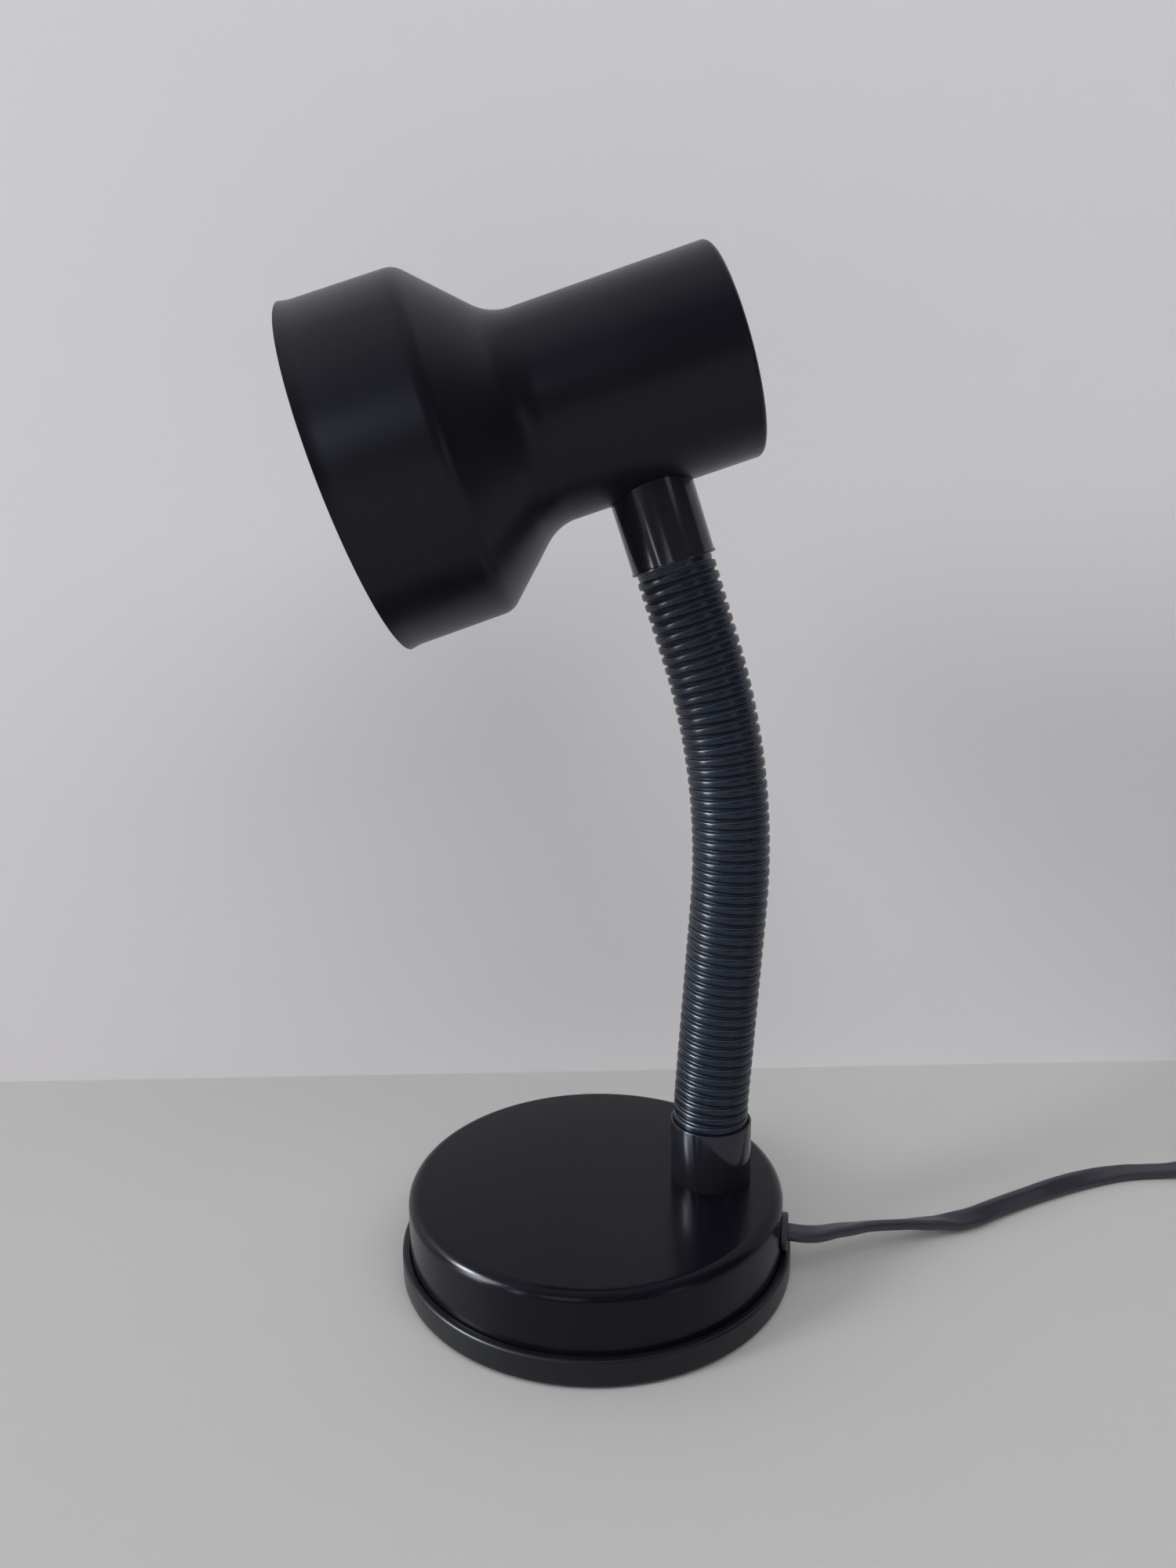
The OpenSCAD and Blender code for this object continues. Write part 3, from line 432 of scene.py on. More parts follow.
def outline(name, points):
    """A line drawn by extruding one vertex from point to point, in the XZ plane."""
    line = added(bpy.ops.mesh.primitive_plane_add, size=MM)
    line.name = name
    line.data.name = name
    bpy.ops.object.mode_set(mode="EDIT")
    bpy.ops.mesh.merge(type="CENTER")
    bpy.ops.transform.translate(value=(points[0][0], 0, points[0][1]))
    for here, there in zip(points, points[1:]):
        step = (there[0] - here[0], 0, there[1] - here[1])
        bpy.ops.mesh.extrude_region_move(TRANSFORM_OT_translate={"value": step})
    bpy.ops.object.mode_set(mode="OBJECT")
    return line


def use(obj, kind, **settings):
    """Adds a modifier and applies it."""
    only(obj)
    modifier = obj.modifiers.new(kind.title(), kind)
    for name, value in settings.items():
        setattr(modifier, name, value)
    bpy.ops.object.modifier_apply(modifier=modifier.name)


def soften(obj, width_mm, segments, edge_angle):
    """Rounds the edges that turn by more than an angle in degrees."""
    use(
        obj, "BEVEL", width=width_mm * MM, segments=segments,
        limit_method="ANGLE", angle_limit=math.radians(edge_angle),
    )


def repeat(obj, count, *step):
    """Repeats a piece at a step in metres."""
    use(
        obj, "ARRAY", count=count, use_relative_offset=False,
        use_constant_offset=True, constant_offset_displace=step,
    )


def merge_doubles(obj, then, **settings):
    """Merges a mesh's doubles, and then runs one more operator on all of it."""
    only(obj)
    bpy.ops.object.mode_set(mode="EDIT")
    bpy.ops.mesh.select_all(action="SELECT")
    bpy.ops.mesh.remove_doubles(threshold=DOUBLES)
    then(**settings)
    bpy.ops.object.mode_set(mode="OBJECT")


def tidy_faces(obj, smooth=32):
    """Merges doubles, points the faces outwards and smooths what isn't an edge."""
    merge_doubles(obj, bpy.ops.mesh.normals_make_consistent, inside=False)
    bpy.ops.object.shade_smooth_by_angle(angle=math.radians(smooth))


def turned(name, points, segments, smooth=32):
    """A turned piece about Z. A closed profile ends on its first point or on the axis."""
    piece = outline(name, points)
    use(
        piece, "SCREW", axis="Z", angle=math.tau, steps=segments, render_steps=segments,
        use_merge_vertices=True, merge_threshold=DOUBLES,
    )
    tidy_faces(piece, smooth)
    return piece


def closed(points):
    return points + points[:1]


def slab(name, points, depth):
    """A flat piece: an outline in the XZ plane, filled, and as thick along Y as depth."""
    piece = outline(name, closed(points))
    merge_doubles(piece, bpy.ops.mesh.edge_face_add)
    use(piece, "SOLIDIFY", thickness=depth, offset=0)
    tidy_faces(piece)
    return piece


def block(size_mm, middle_mm):
    """A box that cuts or joins, from its size and its middle in millimetres."""
    box = added(bpy.ops.mesh.primitive_cube_add, size=MM, location=[x * MM for x in middle_mm])
    box.scale = size_mm
    bpy.ops.object.transform_apply(location=True, rotation=True, scale=True)
    return box


def bar(radius, length, sides, turn, middle=(0, 0, 0)):
    """A cylinder that cuts or joins, in metres."""
    return added(
        bpy.ops.mesh.primitive_cylinder_add, radius=radius, depth=length, vertices=sides,
        location=middle, rotation=turn,
    )


def in_metres(points):
    """Points given in millimetres, as points in metres."""
    return [(x * MM, y * MM) for x, y in points]


def rounded(half_x, half_y, radius):
    """The outline of a rectangle with round corners, in millimetres, as points in metres."""
    x, y = half_x - radius, half_y - radius
    corners = ((x, y, 0), (-x, y, 90), (-x, -y, 180), (x, -y, 270))
    return in_metres(
        p for cx, cy, turn in corners for p in arc(radius, turn, turn + 90, 8, (cx, cy))
    )


def settle(obj, matrix):
    """Moves a piece to its place in the lamp and keeps its object at the origin."""
    only(obj)
    obj.matrix_world = matrix
    bpy.ops.object.transform_apply(location=True, rotation=True, scale=True)


def coat(obj, *slots):
    """Gives a piece the finishes of these slots."""
    obj.data.materials.clear()
    for slot in slots:
        obj.data.materials.append(finishes()[slot])


def dress(obj, slot, body, *nodes):
    """Gives a finished piece its finish and its body, and hides the nodes it stands for."""
    coat(obj, slot)
    if body:
        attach(obj, body)
    if nodes:
        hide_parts(*nodes)


def cut_with(obj, cutter, operation="DIFFERENCE"):
    use(obj, "BOOLEAN", operation=operation, solver="EXACT", object=cutter)
    bpy.data.objects.remove(cutter)


def head_matrix():
    """The head's own frame: on the top bending point, +Z along the upper collar."""
    return Matrix.Translation(PIVOTS[-1]) @ Matrix.Rotation(sizes().lean_top, 4, "Y")


def shade_matrix():
    """The shade's own frame: on its back face, +Z towards its mouth."""
    size = sizes()
    place = Matrix.Translation((size.shade_back, 0, size.shade_up))
    return head_matrix() @ place @ Matrix.Rotation(-RIGHT_ANGLE, 4, "Y")


# ---- camera and stage


class LAMP_OT_camera(bpy.types.Operator):
    """Set the camera where the reference view was taken"""

    bl_idname = "lamp.camera"
    bl_label = "Camera"

    def execute(self, context):
        stage = context.scene.lamp_stage
        turn = (
            Matrix.Rotation(-stage.yaw, 4, "Z")
            @ Matrix.Rotation(RIGHT_ANGLE - stage.pitch, 4, "X")
            @ Matrix.Rotation(stage.roll, 4, "Z")
        )
        camera = added(
            bpy.ops.object.camera_add, location=stage.camera_place, rotation=turn.to_euler()
        )
        camera.data.lens = stage.lens
        camera.data.sensor_width = 36
        camera.data.clip_start = 0.01
        context.scene.camera = camera
        return {"FINISHED"}


FLOOR_SIZE = 8
WALL_SIZE = 4
WALL_SUNK = 0.01       # how far the backdrop's foot lies under the floor
LIGHT_AIM = Vector((0, 0, 0.15))
LIGHT_COLOUR = (0.95, 0.97, 1.0)
WINDOW_SIZE = (0.78, 1.4)
FILL_SIZE = (2.2, 1.4)

# Painted shade: the stage's colour is seen darker and duller from here on towards the window, so
# the window's light doesn't burn it out
NEAR_WINDOW = -0.6
NEAR_FADE = 0.33
NEAR_SHADE = 0.3

# The pale dome of light: where it stands, where it fades in and its least strength
DOME_TOWARD = Vector((-0.25, 0.3, 0.92))
DOME_FROM, DOME_TO, DOME_LEAST = 0.35, 0.95, 0.07
DOME_IN_GLOSS = 0.6

# Bright panes that only show as reflections: place, size and power
PANES = {
    "pane": ((-1.78, -0.28, 0.95), (0.34, 0.5), 45),
    "low_pane": ((-0.8, -0.3, 0.17), (0.2, 0.34), 2.6),
    "strip": ((-1.35, -1.4, 0.55), (0.1, 0.9), 2.5),
    "doorway": ((1.35, -1.45, 0.35), (0.4, 1.1), 1.3),
    "far_wall": ((-0.7, -1.9, 0.85), (0.8, 0.7), 3.0),
}


def matt(name, colour, bumps):
    """A plain stage surface, with a faint unevenness, and shade painted towards the window that
    only the camera sees.
    """
    paint = Shader(name)
    height = paint.noise(3 * MM, 3)
    seen = paint.node("ShaderNodeLightPath", output="Is Camera Ray")
    across = paint.node("ShaderNodeSeparateXYZ", {}, {0: paint.place}, "X")
    # Painted shade near the window, in the camera's view only
    painted_shade = seen * (1 - across.above(NEAR_WINDOW, NEAR_FADE))
    paint.finish(
        Base_Color=paint.mix(painted_shade, tuple(colour), lighter(colour, NEAR_SHADE)),
        Roughness=0.55 + 0.45 * painted_shade,
        Normal=paint.bump(height, bumps * MM, 0.3),
        Specular_IOR_Level=0.1,
    )
    return paint


class LAMP_OT_stage(bpy.types.Operator):
    """Add the floor, the backdrop and the soft light"""

    bl_idname = "lamp.stage"
    bl_label = "Stage"

    def execute(self, context):
        stage = context.scene.lamp_stage
        floor = added(bpy.ops.mesh.primitive_plane_add, size=FLOOR_SIZE)
        floor.name = "floor"
        floor.data.materials.append(matt("floor_paint", stage.floor_colour, 0.005).material)

        middle = (0, stage.wall_distance, WALL_SIZE / 2 - WALL_SUNK)
        wall = added(bpy.ops.mesh.primitive_plane_add, size=WALL_SIZE, location=middle)
        wall.name = "backdrop"
        wall.rotation_euler = (RIGHT_ANGLE, 0, 0)
        paint = matt("backdrop_paint", stage.wall_colour, 0.02)
        # From behind, the backdrop is clear, so that the lamp's back can be seen
        behind = paint.node("ShaderNodeNewGeometry", output="Backfacing")
        clear = paint.node("ShaderNodeBsdfTransparent")
        front = Value(paint, paint.surface.outputs[0])
        cover = paint.node("ShaderNodeMixShader", {}, {0: behind, 1: front, 2: clear})
        paint.feed(paint.tree.nodes["Material Output"], 0, cover)
        wall.data.materials.append(paint.material)

        window = self.light("window", stage.window_place, WINDOW_SIZE, stage.window_power)
        window.data.spread = math.radians(80)
        fill = self.light("fill", stage.fill_place, FILL_SIZE, stage.fill_power)
        fill.visible_glossy = False
        for name, pane in PANES.items():
            self.light(name, *pane).visible_diffuse = False
        self.room(context)
        context.scene.view_settings.view_transform = "Standard"
        return {"FINISHED"}

    def light(self, name, place, size, power):
        """A soft rectangular light, aimed at the middle of the lamp."""
        turn = (LIGHT_AIM - Vector(place)).to_track_quat("-Z", "Y").to_euler()
        lamp = added(bpy.ops.object.light_add, type="AREA", location=place, rotation=turn)
        lamp.name = name
        lamp.data.shape = "RECTANGLE"
        lamp.data.size, lamp.data.size_y = size
        lamp.data.energy = power
        lamp.data.color = LIGHT_COLOUR
        lamp.visible_camera = False
        return lamp

    def room(self, context):
        """Light from above and behind the lamp, and a dark room behind the camera."""
        world = bpy.data.worlds.new("room")
        world.use_nodes = True
        context.scene.world = world
        room = Nodes(world.node_tree)
        looking = room.node("ShaderNodeTexCoord", output="Generated")
        toward = room.node(
            "ShaderNodeVectorMath", {"operation": "DOT_PRODUCT"},
            {0: looking, 1: DOME_TOWARD.normalized()}, "Value",
        )
        dome = room.node(
            "ShaderNodeMapRange", SMOOTH_STEP,
            {0: toward, 1: DOME_FROM, 2: DOME_TO, 3: DOME_LEAST},
        )
        in_gloss = room.node("ShaderNodeLightPath", output="Is Glossy Ray")
        dimmer = room.node("ShaderNodeMapRange", {}, {0: in_gloss, 3: 1, 4: DOME_IN_GLOSS})
        lit = {"Color": (0.97, 0.98, 1.0), "Strength": dome * dimmer}
        plain = {"Color": (0.5, 0.49, 0.5), "Strength": 1}
        seen = room.node("ShaderNodeLightPath", output="Is Camera Ray")
        shown = room.node("ShaderNodeMixShader", {}, {
            0: seen,
            1: room.node("ShaderNodeBackground", {}, lit),
            2: room.node("ShaderNodeBackground", {}, plain),
        })
        room.feed(room.tree.nodes["World Output"], 0, shown)


# ---- cord: lengths and places in millimetres

GROMMET_TURN = math.radians(-13)
GROMMET_OUT = Vector((math.cos(GROMMET_TURN), math.sin(GROMMET_TURN), 0))
GROMMET_FACE = 64.1   # its outer face, from the middle of the base
GROMMET_HEIGHT = 15.5
GROMMET_UP = Vector((0, 0, GROMMET_HEIGHT))
SWITCH_X = 237
SWITCH_Y = 39.5
SWITCH_CORD_Z = 4.6
COIL_AT = (281, -26)
COIL_LOOPS = 6.25
COIL_IN = 26.4
COIL_STEPS = 24
TURN = 30             # radius of the bend behind the switch
APART = 0.5           # between two turns, and between the two layers of the coil
OFF_FLOOR = 0.05
CORE_ENDS = 62        # half the angle that each core's round takes in the cord's section


def cord_route():
    """The stretch from the grommet to the switch: its points and the roll at each."""
    start = GROMMET_UP + GROMMET_FACE * GROMMET_OUT
    points = [
        start, start + 6.5 * GROMMET_OUT, (80, -10.5, 13.2), (92.5, -3.4, 9.8),
        (104.7, 1.5, 7), (117, 5.4, 4.8), (129, 8.8, 3.8), (142.6, 15.6, 3.6),
        (156.5, 22.4, 3.6), (171, 29.3, 3.3), (185.5, 35.4, 2.6), (199.4, 39.4, 2.1),
        (210, 40.4, 1.95), (218, 40.2, 2.4), (226, 39.7, 4), (231, 39.5, 4.6),
        (SWITCH_X, SWITCH_Y, SWITCH_CORD_Z),
    ]
    rolls = [0, 0, -15, -30, -30, -15, 35, 70, 75, 60, 35, 12, 3, 0, 0, 0, 0]
    return [Vector(point) for point in points], rolls


def spare_route():
    """The stretch behind the switch: round to the coil, its loops, and on to the plug."""
    width = sizes().cord_width / MM
    thickness = sizes().cord_thickness / MM
    pitch = width + APART
    low_z = thickness / 2 + OFF_FLOOR
    rise = thickness + APART
    outer = COIL_IN + pitch * COIL_LOOPS / 2
    side = COIL_AT[0] + outer
    behind = high("switch_base", 0) / MM
    points = [(behind, SWITCH_Y, SWITCH_CORD_Z), (behind + 6, SWITCH_Y, SWITCH_CORD_Z - 0.2)]
    for x, y in arc(TURN, 90, 0, 4, (side - TURN, SWITCH_Y - TURN)):
        points.append((x, y, 3 if x < behind + 12 else low_z))
    points.append((side, (SWITCH_Y - TURN + COIL_AT[1] + width) / 2, low_z))
    points.append((side, COIL_AT[1] + 2 * width, low_z))
    points.append((side, COIL_AT[1] + width, low_z))
    half = 360 * COIL_LOOPS / 2
    for i in range(int(COIL_LOOPS * COIL_STEPS) + 1):
        turn = 360 * i / COIL_STEPS
        radius = COIL_IN + pitch * abs(turn - half) / 360
        climb = min(1, max(0, (turn - half + 90) / 180))
        height = low_z + rise * climb * climb * (3 - 2 * climb)
        angle = math.radians(turn)
        x = COIL_AT[0] + radius * math.cos(angle)
        y = COIL_AT[1] - radius * math.sin(angle)
        points.append((x, y, height))
    x, y, z = points[-1]
    plug_x = high("plug_body", 0) / MM
    middle = middle_of("plug_body", 2) / MM
    points += [(x - width, y, z), (x - 2 * width, y, z)]
    points += [(plug_x + width, y, middle), (plug_x, y, middle)]
    return [Vector(point) for point in points]


def soft_line(curve, points):
    """Gives a curve one smooth line through the points."""
    curve.splines.clear()
    spline = curve.splines.new("BEZIER")
    spline.bezier_points.add(len(points) - 1)
    for knot, point in zip(spline.bezier_points, points):
        knot.co = point
        knot.handle_left_type = "AUTO"
        knot.handle_right_type = "AUTO"
    return spline


def cord_section():
    """The flat two-core section, with a slight waist between the cores."""
    ring = added(bpy.ops.curve.primitive_nurbs_circle_add)
    ring.name = "cord_section"
    half_width = sizes().cord_width / 2
    core = sizes().cord_thickness / 2
    waist = 0.86
    points = arc(core, -CORE_ENDS, CORE_ENDS, 8, (half_width - core, 0))
    points += [(0, waist * core)]
    points += arc(core, 180 - CORE_ENDS, 180 + CORE_ENDS, 8, (core - half_width, 0))
    points += [(0, -waist * core)]
    soft_line(ring.data, [(x, y, 0) for x, y in points]).use_cyclic_u = True
    ring.data.resolution_u = 2
    return ring


def cord_piece(name, points, section, smoothness, rolls=()):
    """One stretch of cord: a curve through the points, rolled, with the section along it."""
    cord = added(bpy.ops.curve.primitive_bezier_curve_add)
    cord.name = name
    curve = cord.data
    curve.name = name
    curve.dimensions = "3D"
    curve.twist_mode = "Z_UP"
    curve.resolution_u = smoothness
    curve.bevel_mode = "OBJECT"
    curve.bevel_object = section
    curve.use_fill_caps = True
    spline = soft_line(curve, [point * MM for point in points])
    spline.tilt_interpolation = "EASE"
    for knot, roll in zip(spline.bezier_points, rolls):
        knot.tilt = math.radians(roll)
    only(cord)
    bpy.ops.object.convert(target="MESH")
    cord = bpy.context.active_object
    tidy_faces(cord, 50)
    return cord


# The switch and the plug, also in millimetres
ROCKER_AT = (SWITCH_X + 27, SWITCH_Y, 13.7)
ROCKER_LEAN = math.radians(-7)
ON_THE_TABLE = Matrix.Rotation(RIGHT_ANGLE, 4, "X")
SHELL_SEAM = 0.12             # open between the two shells
SHELL_CORNER = 6
SHELL_EDGE = 2.6              # rounding of its top edge
SHELL_WALL = 1.8
SHELL_ROOM = (48, 17)         # its inside, along and across
FRAME = (10.4, 7, 2.2)        # half the raised frame's sides, and its corners
FRAME_THICK, FRAME_SUNK = 1.6, 1
ROCKER_WINDOW = (15.2, 9.8)
ROCKER_WIDTH = 9
GRIP_LINE = (0.5, 6, 0.8)
AXLE_RADIUS, AXLE_LENGTH = 1.2, 13.8
PLUG_SIDE = [                 # half the plug's outline: along it, and from its middle
    (0, 13.4), (1.2, 15.8), (3.8, 17.3), (8, 17.6), (12, 17), (16, 15.9), (20, 15.3),
    (24, 15.5), (27, 14.9), (29.5, 12.7), (31.5, 9.6), (33.2, 7.4), (35, 6.2),
]


def boot(name, place, length):
    """A ribbed sleeve that keeps the cord from kinking where it leaves a fitting."""
    inner = 3.5 * MM
    outer = 4.8 * MM
    deep = 0.6 * MM
    rings = 4
    step = length / rings
    profile = [(inner, 0)]
    for k in range(rings):
        wide = outer - 0.12 * MM * k
        profile += [(wide, (k + 0.08) * step), (wide, (k + 0.62) * step)]
        profile += [(wide - deep, (k + 0.7) * step), (wide - deep, (k + 0.95) * step)]
    piece = turned(name, closed(profile + [(inner, length)]), 64, 40)
    soften(piece, 0.12, 2, 50)
    tidy_faces(piece, 40)
    flat = Matrix.Diagonal((0.72, 1, 1, 1))
    settle(piece, place @ Matrix.Rotation(RIGHT_ANGLE, 4, "Y") @ flat)
    dress(piece, "fitting_black", "base")


class LAMP_OT_switch(bpy.types.Operator):
    """Add the inline switch: its upper shell, its rocker and the two cord boots"""

    bl_idname = "lamp.switch"
    bl_label = "Switch"

    def execute(self, context):
        self.shell()
        self.rocker()
        ends = (
            ("switch_boot_in", low("switch_base", 0), math.pi),
            ("switch_boot_out", high("switch_base", 0), 0),
        )
        for name, x, turn in ends:
            place = Matrix.Translation((x, SWITCH_Y * MM, SWITCH_CORD_Z * MM))
            boot(name, place @ Matrix.Rotation(turn, 4, "Z"), 5 * MM)
        return {"FINISHED"}

    def shell(self):
        """The upper shell, hollow, with a raised frame round the rocker's window."""
        seam = low("switch_cover", 2) / MM + SHELL_SEAM
        top = high("switch_cover", 2) / MM
        half_x = half_of("switch_cover", 0) / MM
        half_y = half_of("switch_cover", 1) / MM
        plan = rounded(half_x, half_y, SHELL_CORNER)
        shell = slab("switch_shell", plan, (top - seam) * MM)
        settle(shell, Matrix.Translation((0, 0, (top + seam) / 2 * MM)) @ ON_THE_TABLE)
        rim = shell.vertex_groups.new(name="rim")
        rim.add([v.index for v in shell.data.vertices if v.co.z > (top - 1) * MM], 1, "REPLACE")
        use(
            shell, "BEVEL", width=SHELL_EDGE * MM, segments=6,
            limit_method="VGROUP", vertex_group="rim",
        )
        soften(shell, 0.35, 2, 60)
        raised = slab("switch_frame", rounded(*FRAME), FRAME_THICK * MM)
        soften(raised, 0.5, 3, 60)
        middle = top + FRAME_THICK / 2 - FRAME_SUNK
        settle(raised, Matrix.Translation((0, 0, middle * MM)) @ ON_THE_TABLE)
        cut_with(shell, raised, "UNION")
        inside = top - SHELL_WALL
        cut_with(shell, block((*SHELL_ROOM, inside - seam + 1), (0, 0, (inside + seam - 1) / 2)))
        cut_with(shell, block((*ROCKER_WINDOW, 8), (0, 0, top)))
        tidy_faces(shell, 35)
        settle(shell, Matrix.Translation((ROCKER_AT[0] * MM, ROCKER_AT[1] * MM, 0)))
        dress(shell, "fitting_black", "base", "switch_cover")

    def rocker(self):
        """The rocker: two dished halves, the far one with grip lines."""
        half = 7
        foot = -2.4
        rim, dip = 2.3, 1.5
        dish = [(half - 0.35 * k, rim - dip * math.sin(math.radians(4.5 * k))) for k in range(19)]
        crest = [(-x, z) for x, z in dish[::-1]]
        side = [(half - 1.5, foot)] + dish + crest[1:] + [(1.5 - half, foot)]
        rocker = slab("rocker_cap", in_metres(side), ROCKER_WIDTH * MM)
        soften(rocker, 0.35, 2, 50)
        lines = block(GRIP_LINE, (2.6, 0, 1.75))
        lines.rotation_euler = (0, math.radians(-10), 0)
        repeat(lines, 4, 1.1 * MM, 0, 0)
        cut_with(rocker, lines)
        axle = bar(AXLE_RADIUS * MM, AXLE_LENGTH * MM, 32, ALONG_Y)
        cut_with(rocker, axle, "UNION")
        tidy_faces(rocker, 35)
        place = Matrix.Translation([x * MM for x in ROCKER_AT])
        settle(rocker, place @ Matrix.Rotation(ROCKER_LEAN, 4, "Y"))
        dress(rocker, "fitting_black", "rocker", "switch_rocker")


class LAMP_OT_plug(bpy.types.Operator):
    """Add the plug's moulded body, with its grip and its cord boot"""

    bl_idname = "lamp.plug"
    bl_label = "Plug"

    def execute(self, context):
        height = 2 * half_of("plug_body", 2)
        pin = half_of("plug_pins", 2)
        pin_y = half_of("plug_pins", 1) - pin
        pin_hole = pin + 0.08 * MM
        plan = in_metres(PLUG_SIDE + [(x, -y) for x, y in PLUG_SIDE[::-1]])
        plug = slab("plug_shell", plan, height)
        settle(plug, Matrix.Translation((0, 0, height / 2)) @ ON_THE_TABLE)
        soften(plug, 2.4, 6, 50)
        grips = block((0.9, 20, 1.2), (15.5, 0, 0))
        repeat(grips, 5, 2.6 * MM, 0, 0)
        repeat(grips, 2, 0, 0, height)
        cut_with(plug, grips)
        for side in (-1, 1):
            place = (-0.9 * MM, side * pin_y, height / 2)
            cut_with(plug, bar(pin_hole, 18 * MM, 48, ALONG_X, place))
        tidy_faces(plug, 35)
        middle_y = middle_of("plug_body", 1)
        settle(plug, Matrix.Translation((low("plug_body", 0), middle_y, low("plug_body", 2))))
        dress(plug, "fitting_black", "base", "plug_body")
        cord_end = Matrix.Translation((high("plug_body", 0), middle_y, height / 2))
        boot("plug_boot", cord_end, 6 * MM)
        return {"FINISHED"}


class LAMP_OT_cords(bpy.types.Operator):
    """Add the flat cord: the stretch to the switch, and the spare length to the plug"""

    bl_idname = "lamp.cords"
    bl_label = "Cords"

    def execute(self, context):
        section = cord_section()

        points, rolls = cord_route()
        run = cord_piece("cord_to_switch", points, section, 10, rolls)
        dress(run, "cord_pvc", "base", "cord_run")

        points = spare_route()
        spare = cord_piece("cord_to_plug", points, section, 3)
        dress(spare, "cord_pvc", "base", "cord_tail", "cord_coil", "cord_end")
        bpy.data.objects.remove(section)
        return {"FINISHED"}


# ---- neck

NECK_FROM = -13 * MM   # along the neck's line, counted from the lowest bending point
NECK_TO = LINKS * LINK + 13.5 * MM
NECK_MARKS = [NECK_FROM] + [(k - 0.5) * LINK for k in range(1, LINKS + 1)] + [NECK_TO]
LEAN_LOW = math.radians(4.5)
FOOT_STRAIGHT = -6.5 * MM
FOOT_LEANS = 5 * MM
CURVE_FROM = 67.3 * MM
CURVE_TO = 151.4 * MM


def lean_at(s):
    """The neck's lean from the vertical at a length s above the lowest bending point."""
    foot = min(1, max(0, (s - FOOT_STRAIGHT) / (FOOT_LEANS - FOOT_STRAIGHT)))
    bend = min(1, max(0, (s - CURVE_FROM) / (CURVE_TO - CURVE_FROM)))
    return LEAN_LOW * foot + (sizes().lean_top - LEAN_LOW) * bend


def walk(here, s, goal):
    """Points along the neck's line, about 1 mm apart, from the length s to another."""
    count = max(1, round(abs(goal - s) / MM))
    stride = (goal - s) / count
    points = [here]
    for _ in range(count):
        lean = lean_at(s + stride / 2)
        here = here + stride * Vector((math.sin(lean), 0, math.cos(lean)))
        s += stride
        points.append(here)
    return points


def neck_points(start, end):
    """The neck's line between two lengths above the lowest bending point."""
    return walk(walk(PIVOTS[0], 0, start)[-1], start, end)


def neck_guide():
    """A curve along the neck, which bends straight pieces to its line."""
    points = neck_points(NECK_FROM, NECK_TO)
    guide = added(bpy.ops.curve.primitive_nurbs_path_add)
    guide.name = "neck_guide"
    guide.data.splines.clear()
    guide.data.twist_mode = "MINIMUM"
    spline = guide.data.splines.new("POLY")
    spline.points.add(len(points) - 1)
    for knot, point in zip(spline.points, points):
        knot.co = (*(point - points[0]), 1)
    return guide, points[0]


def rib_pitch():
    return LINK / sizes().ribs_per_link


def rib(middle):
    """The profile of one rib, from groove to groove."""
    size = sizes()
    half = (rib_pitch() - size.groove) / 2
    soft = 0.8 * MM
    corner = size.rib_radius - soft
    flank = (0.15 * MM, 0.12 * MM)   # the groove's flank: its rise and its width
    return (
        [(size.root_radius + flank[0], middle - half - flank[1])]
        + arc(soft, -85, 0, 5, (corner, middle - half + soft))
        + arc(soft, 0, 85, 5, (corner, middle + half - soft))
        + [(size.root_radius + flank[0], middle + half + flank[1])]
    )


def hose_outer(start, end):
    """The sleeve's outer profile between two lengths along the neck."""
    size = sizes()
    pitch = rib_pitch()
    first = -2 * pitch
    last = LINKS * LINK + 2 * pitch
    plain = 0.7 * MM   # from the last rib to the plain end
    plain_foot = size.rib_radius - 0.3 * MM
    plain_head = 11.65 * MM
    points = []
    for k in range(math.floor(start / pitch) - 1, math.ceil(end / pitch) + 1):
        middle = (k + 0.5) * pitch
        if first < middle < last:
            points += [(size.root_radius, middle - pitch / 2)] + rib(middle)
    points = [(r, z) for r, z in points if start < z < end]
    begin = [(size.rib_radius, start)]
    finish = [(size.rib_radius, end)]
    if start < first:
        begin = [(plain_foot, start), (plain_foot, first - plain)]
    if end > last:
        finish = [(plain_head, last + plain), (plain_head, end)]
    return begin + points + finish


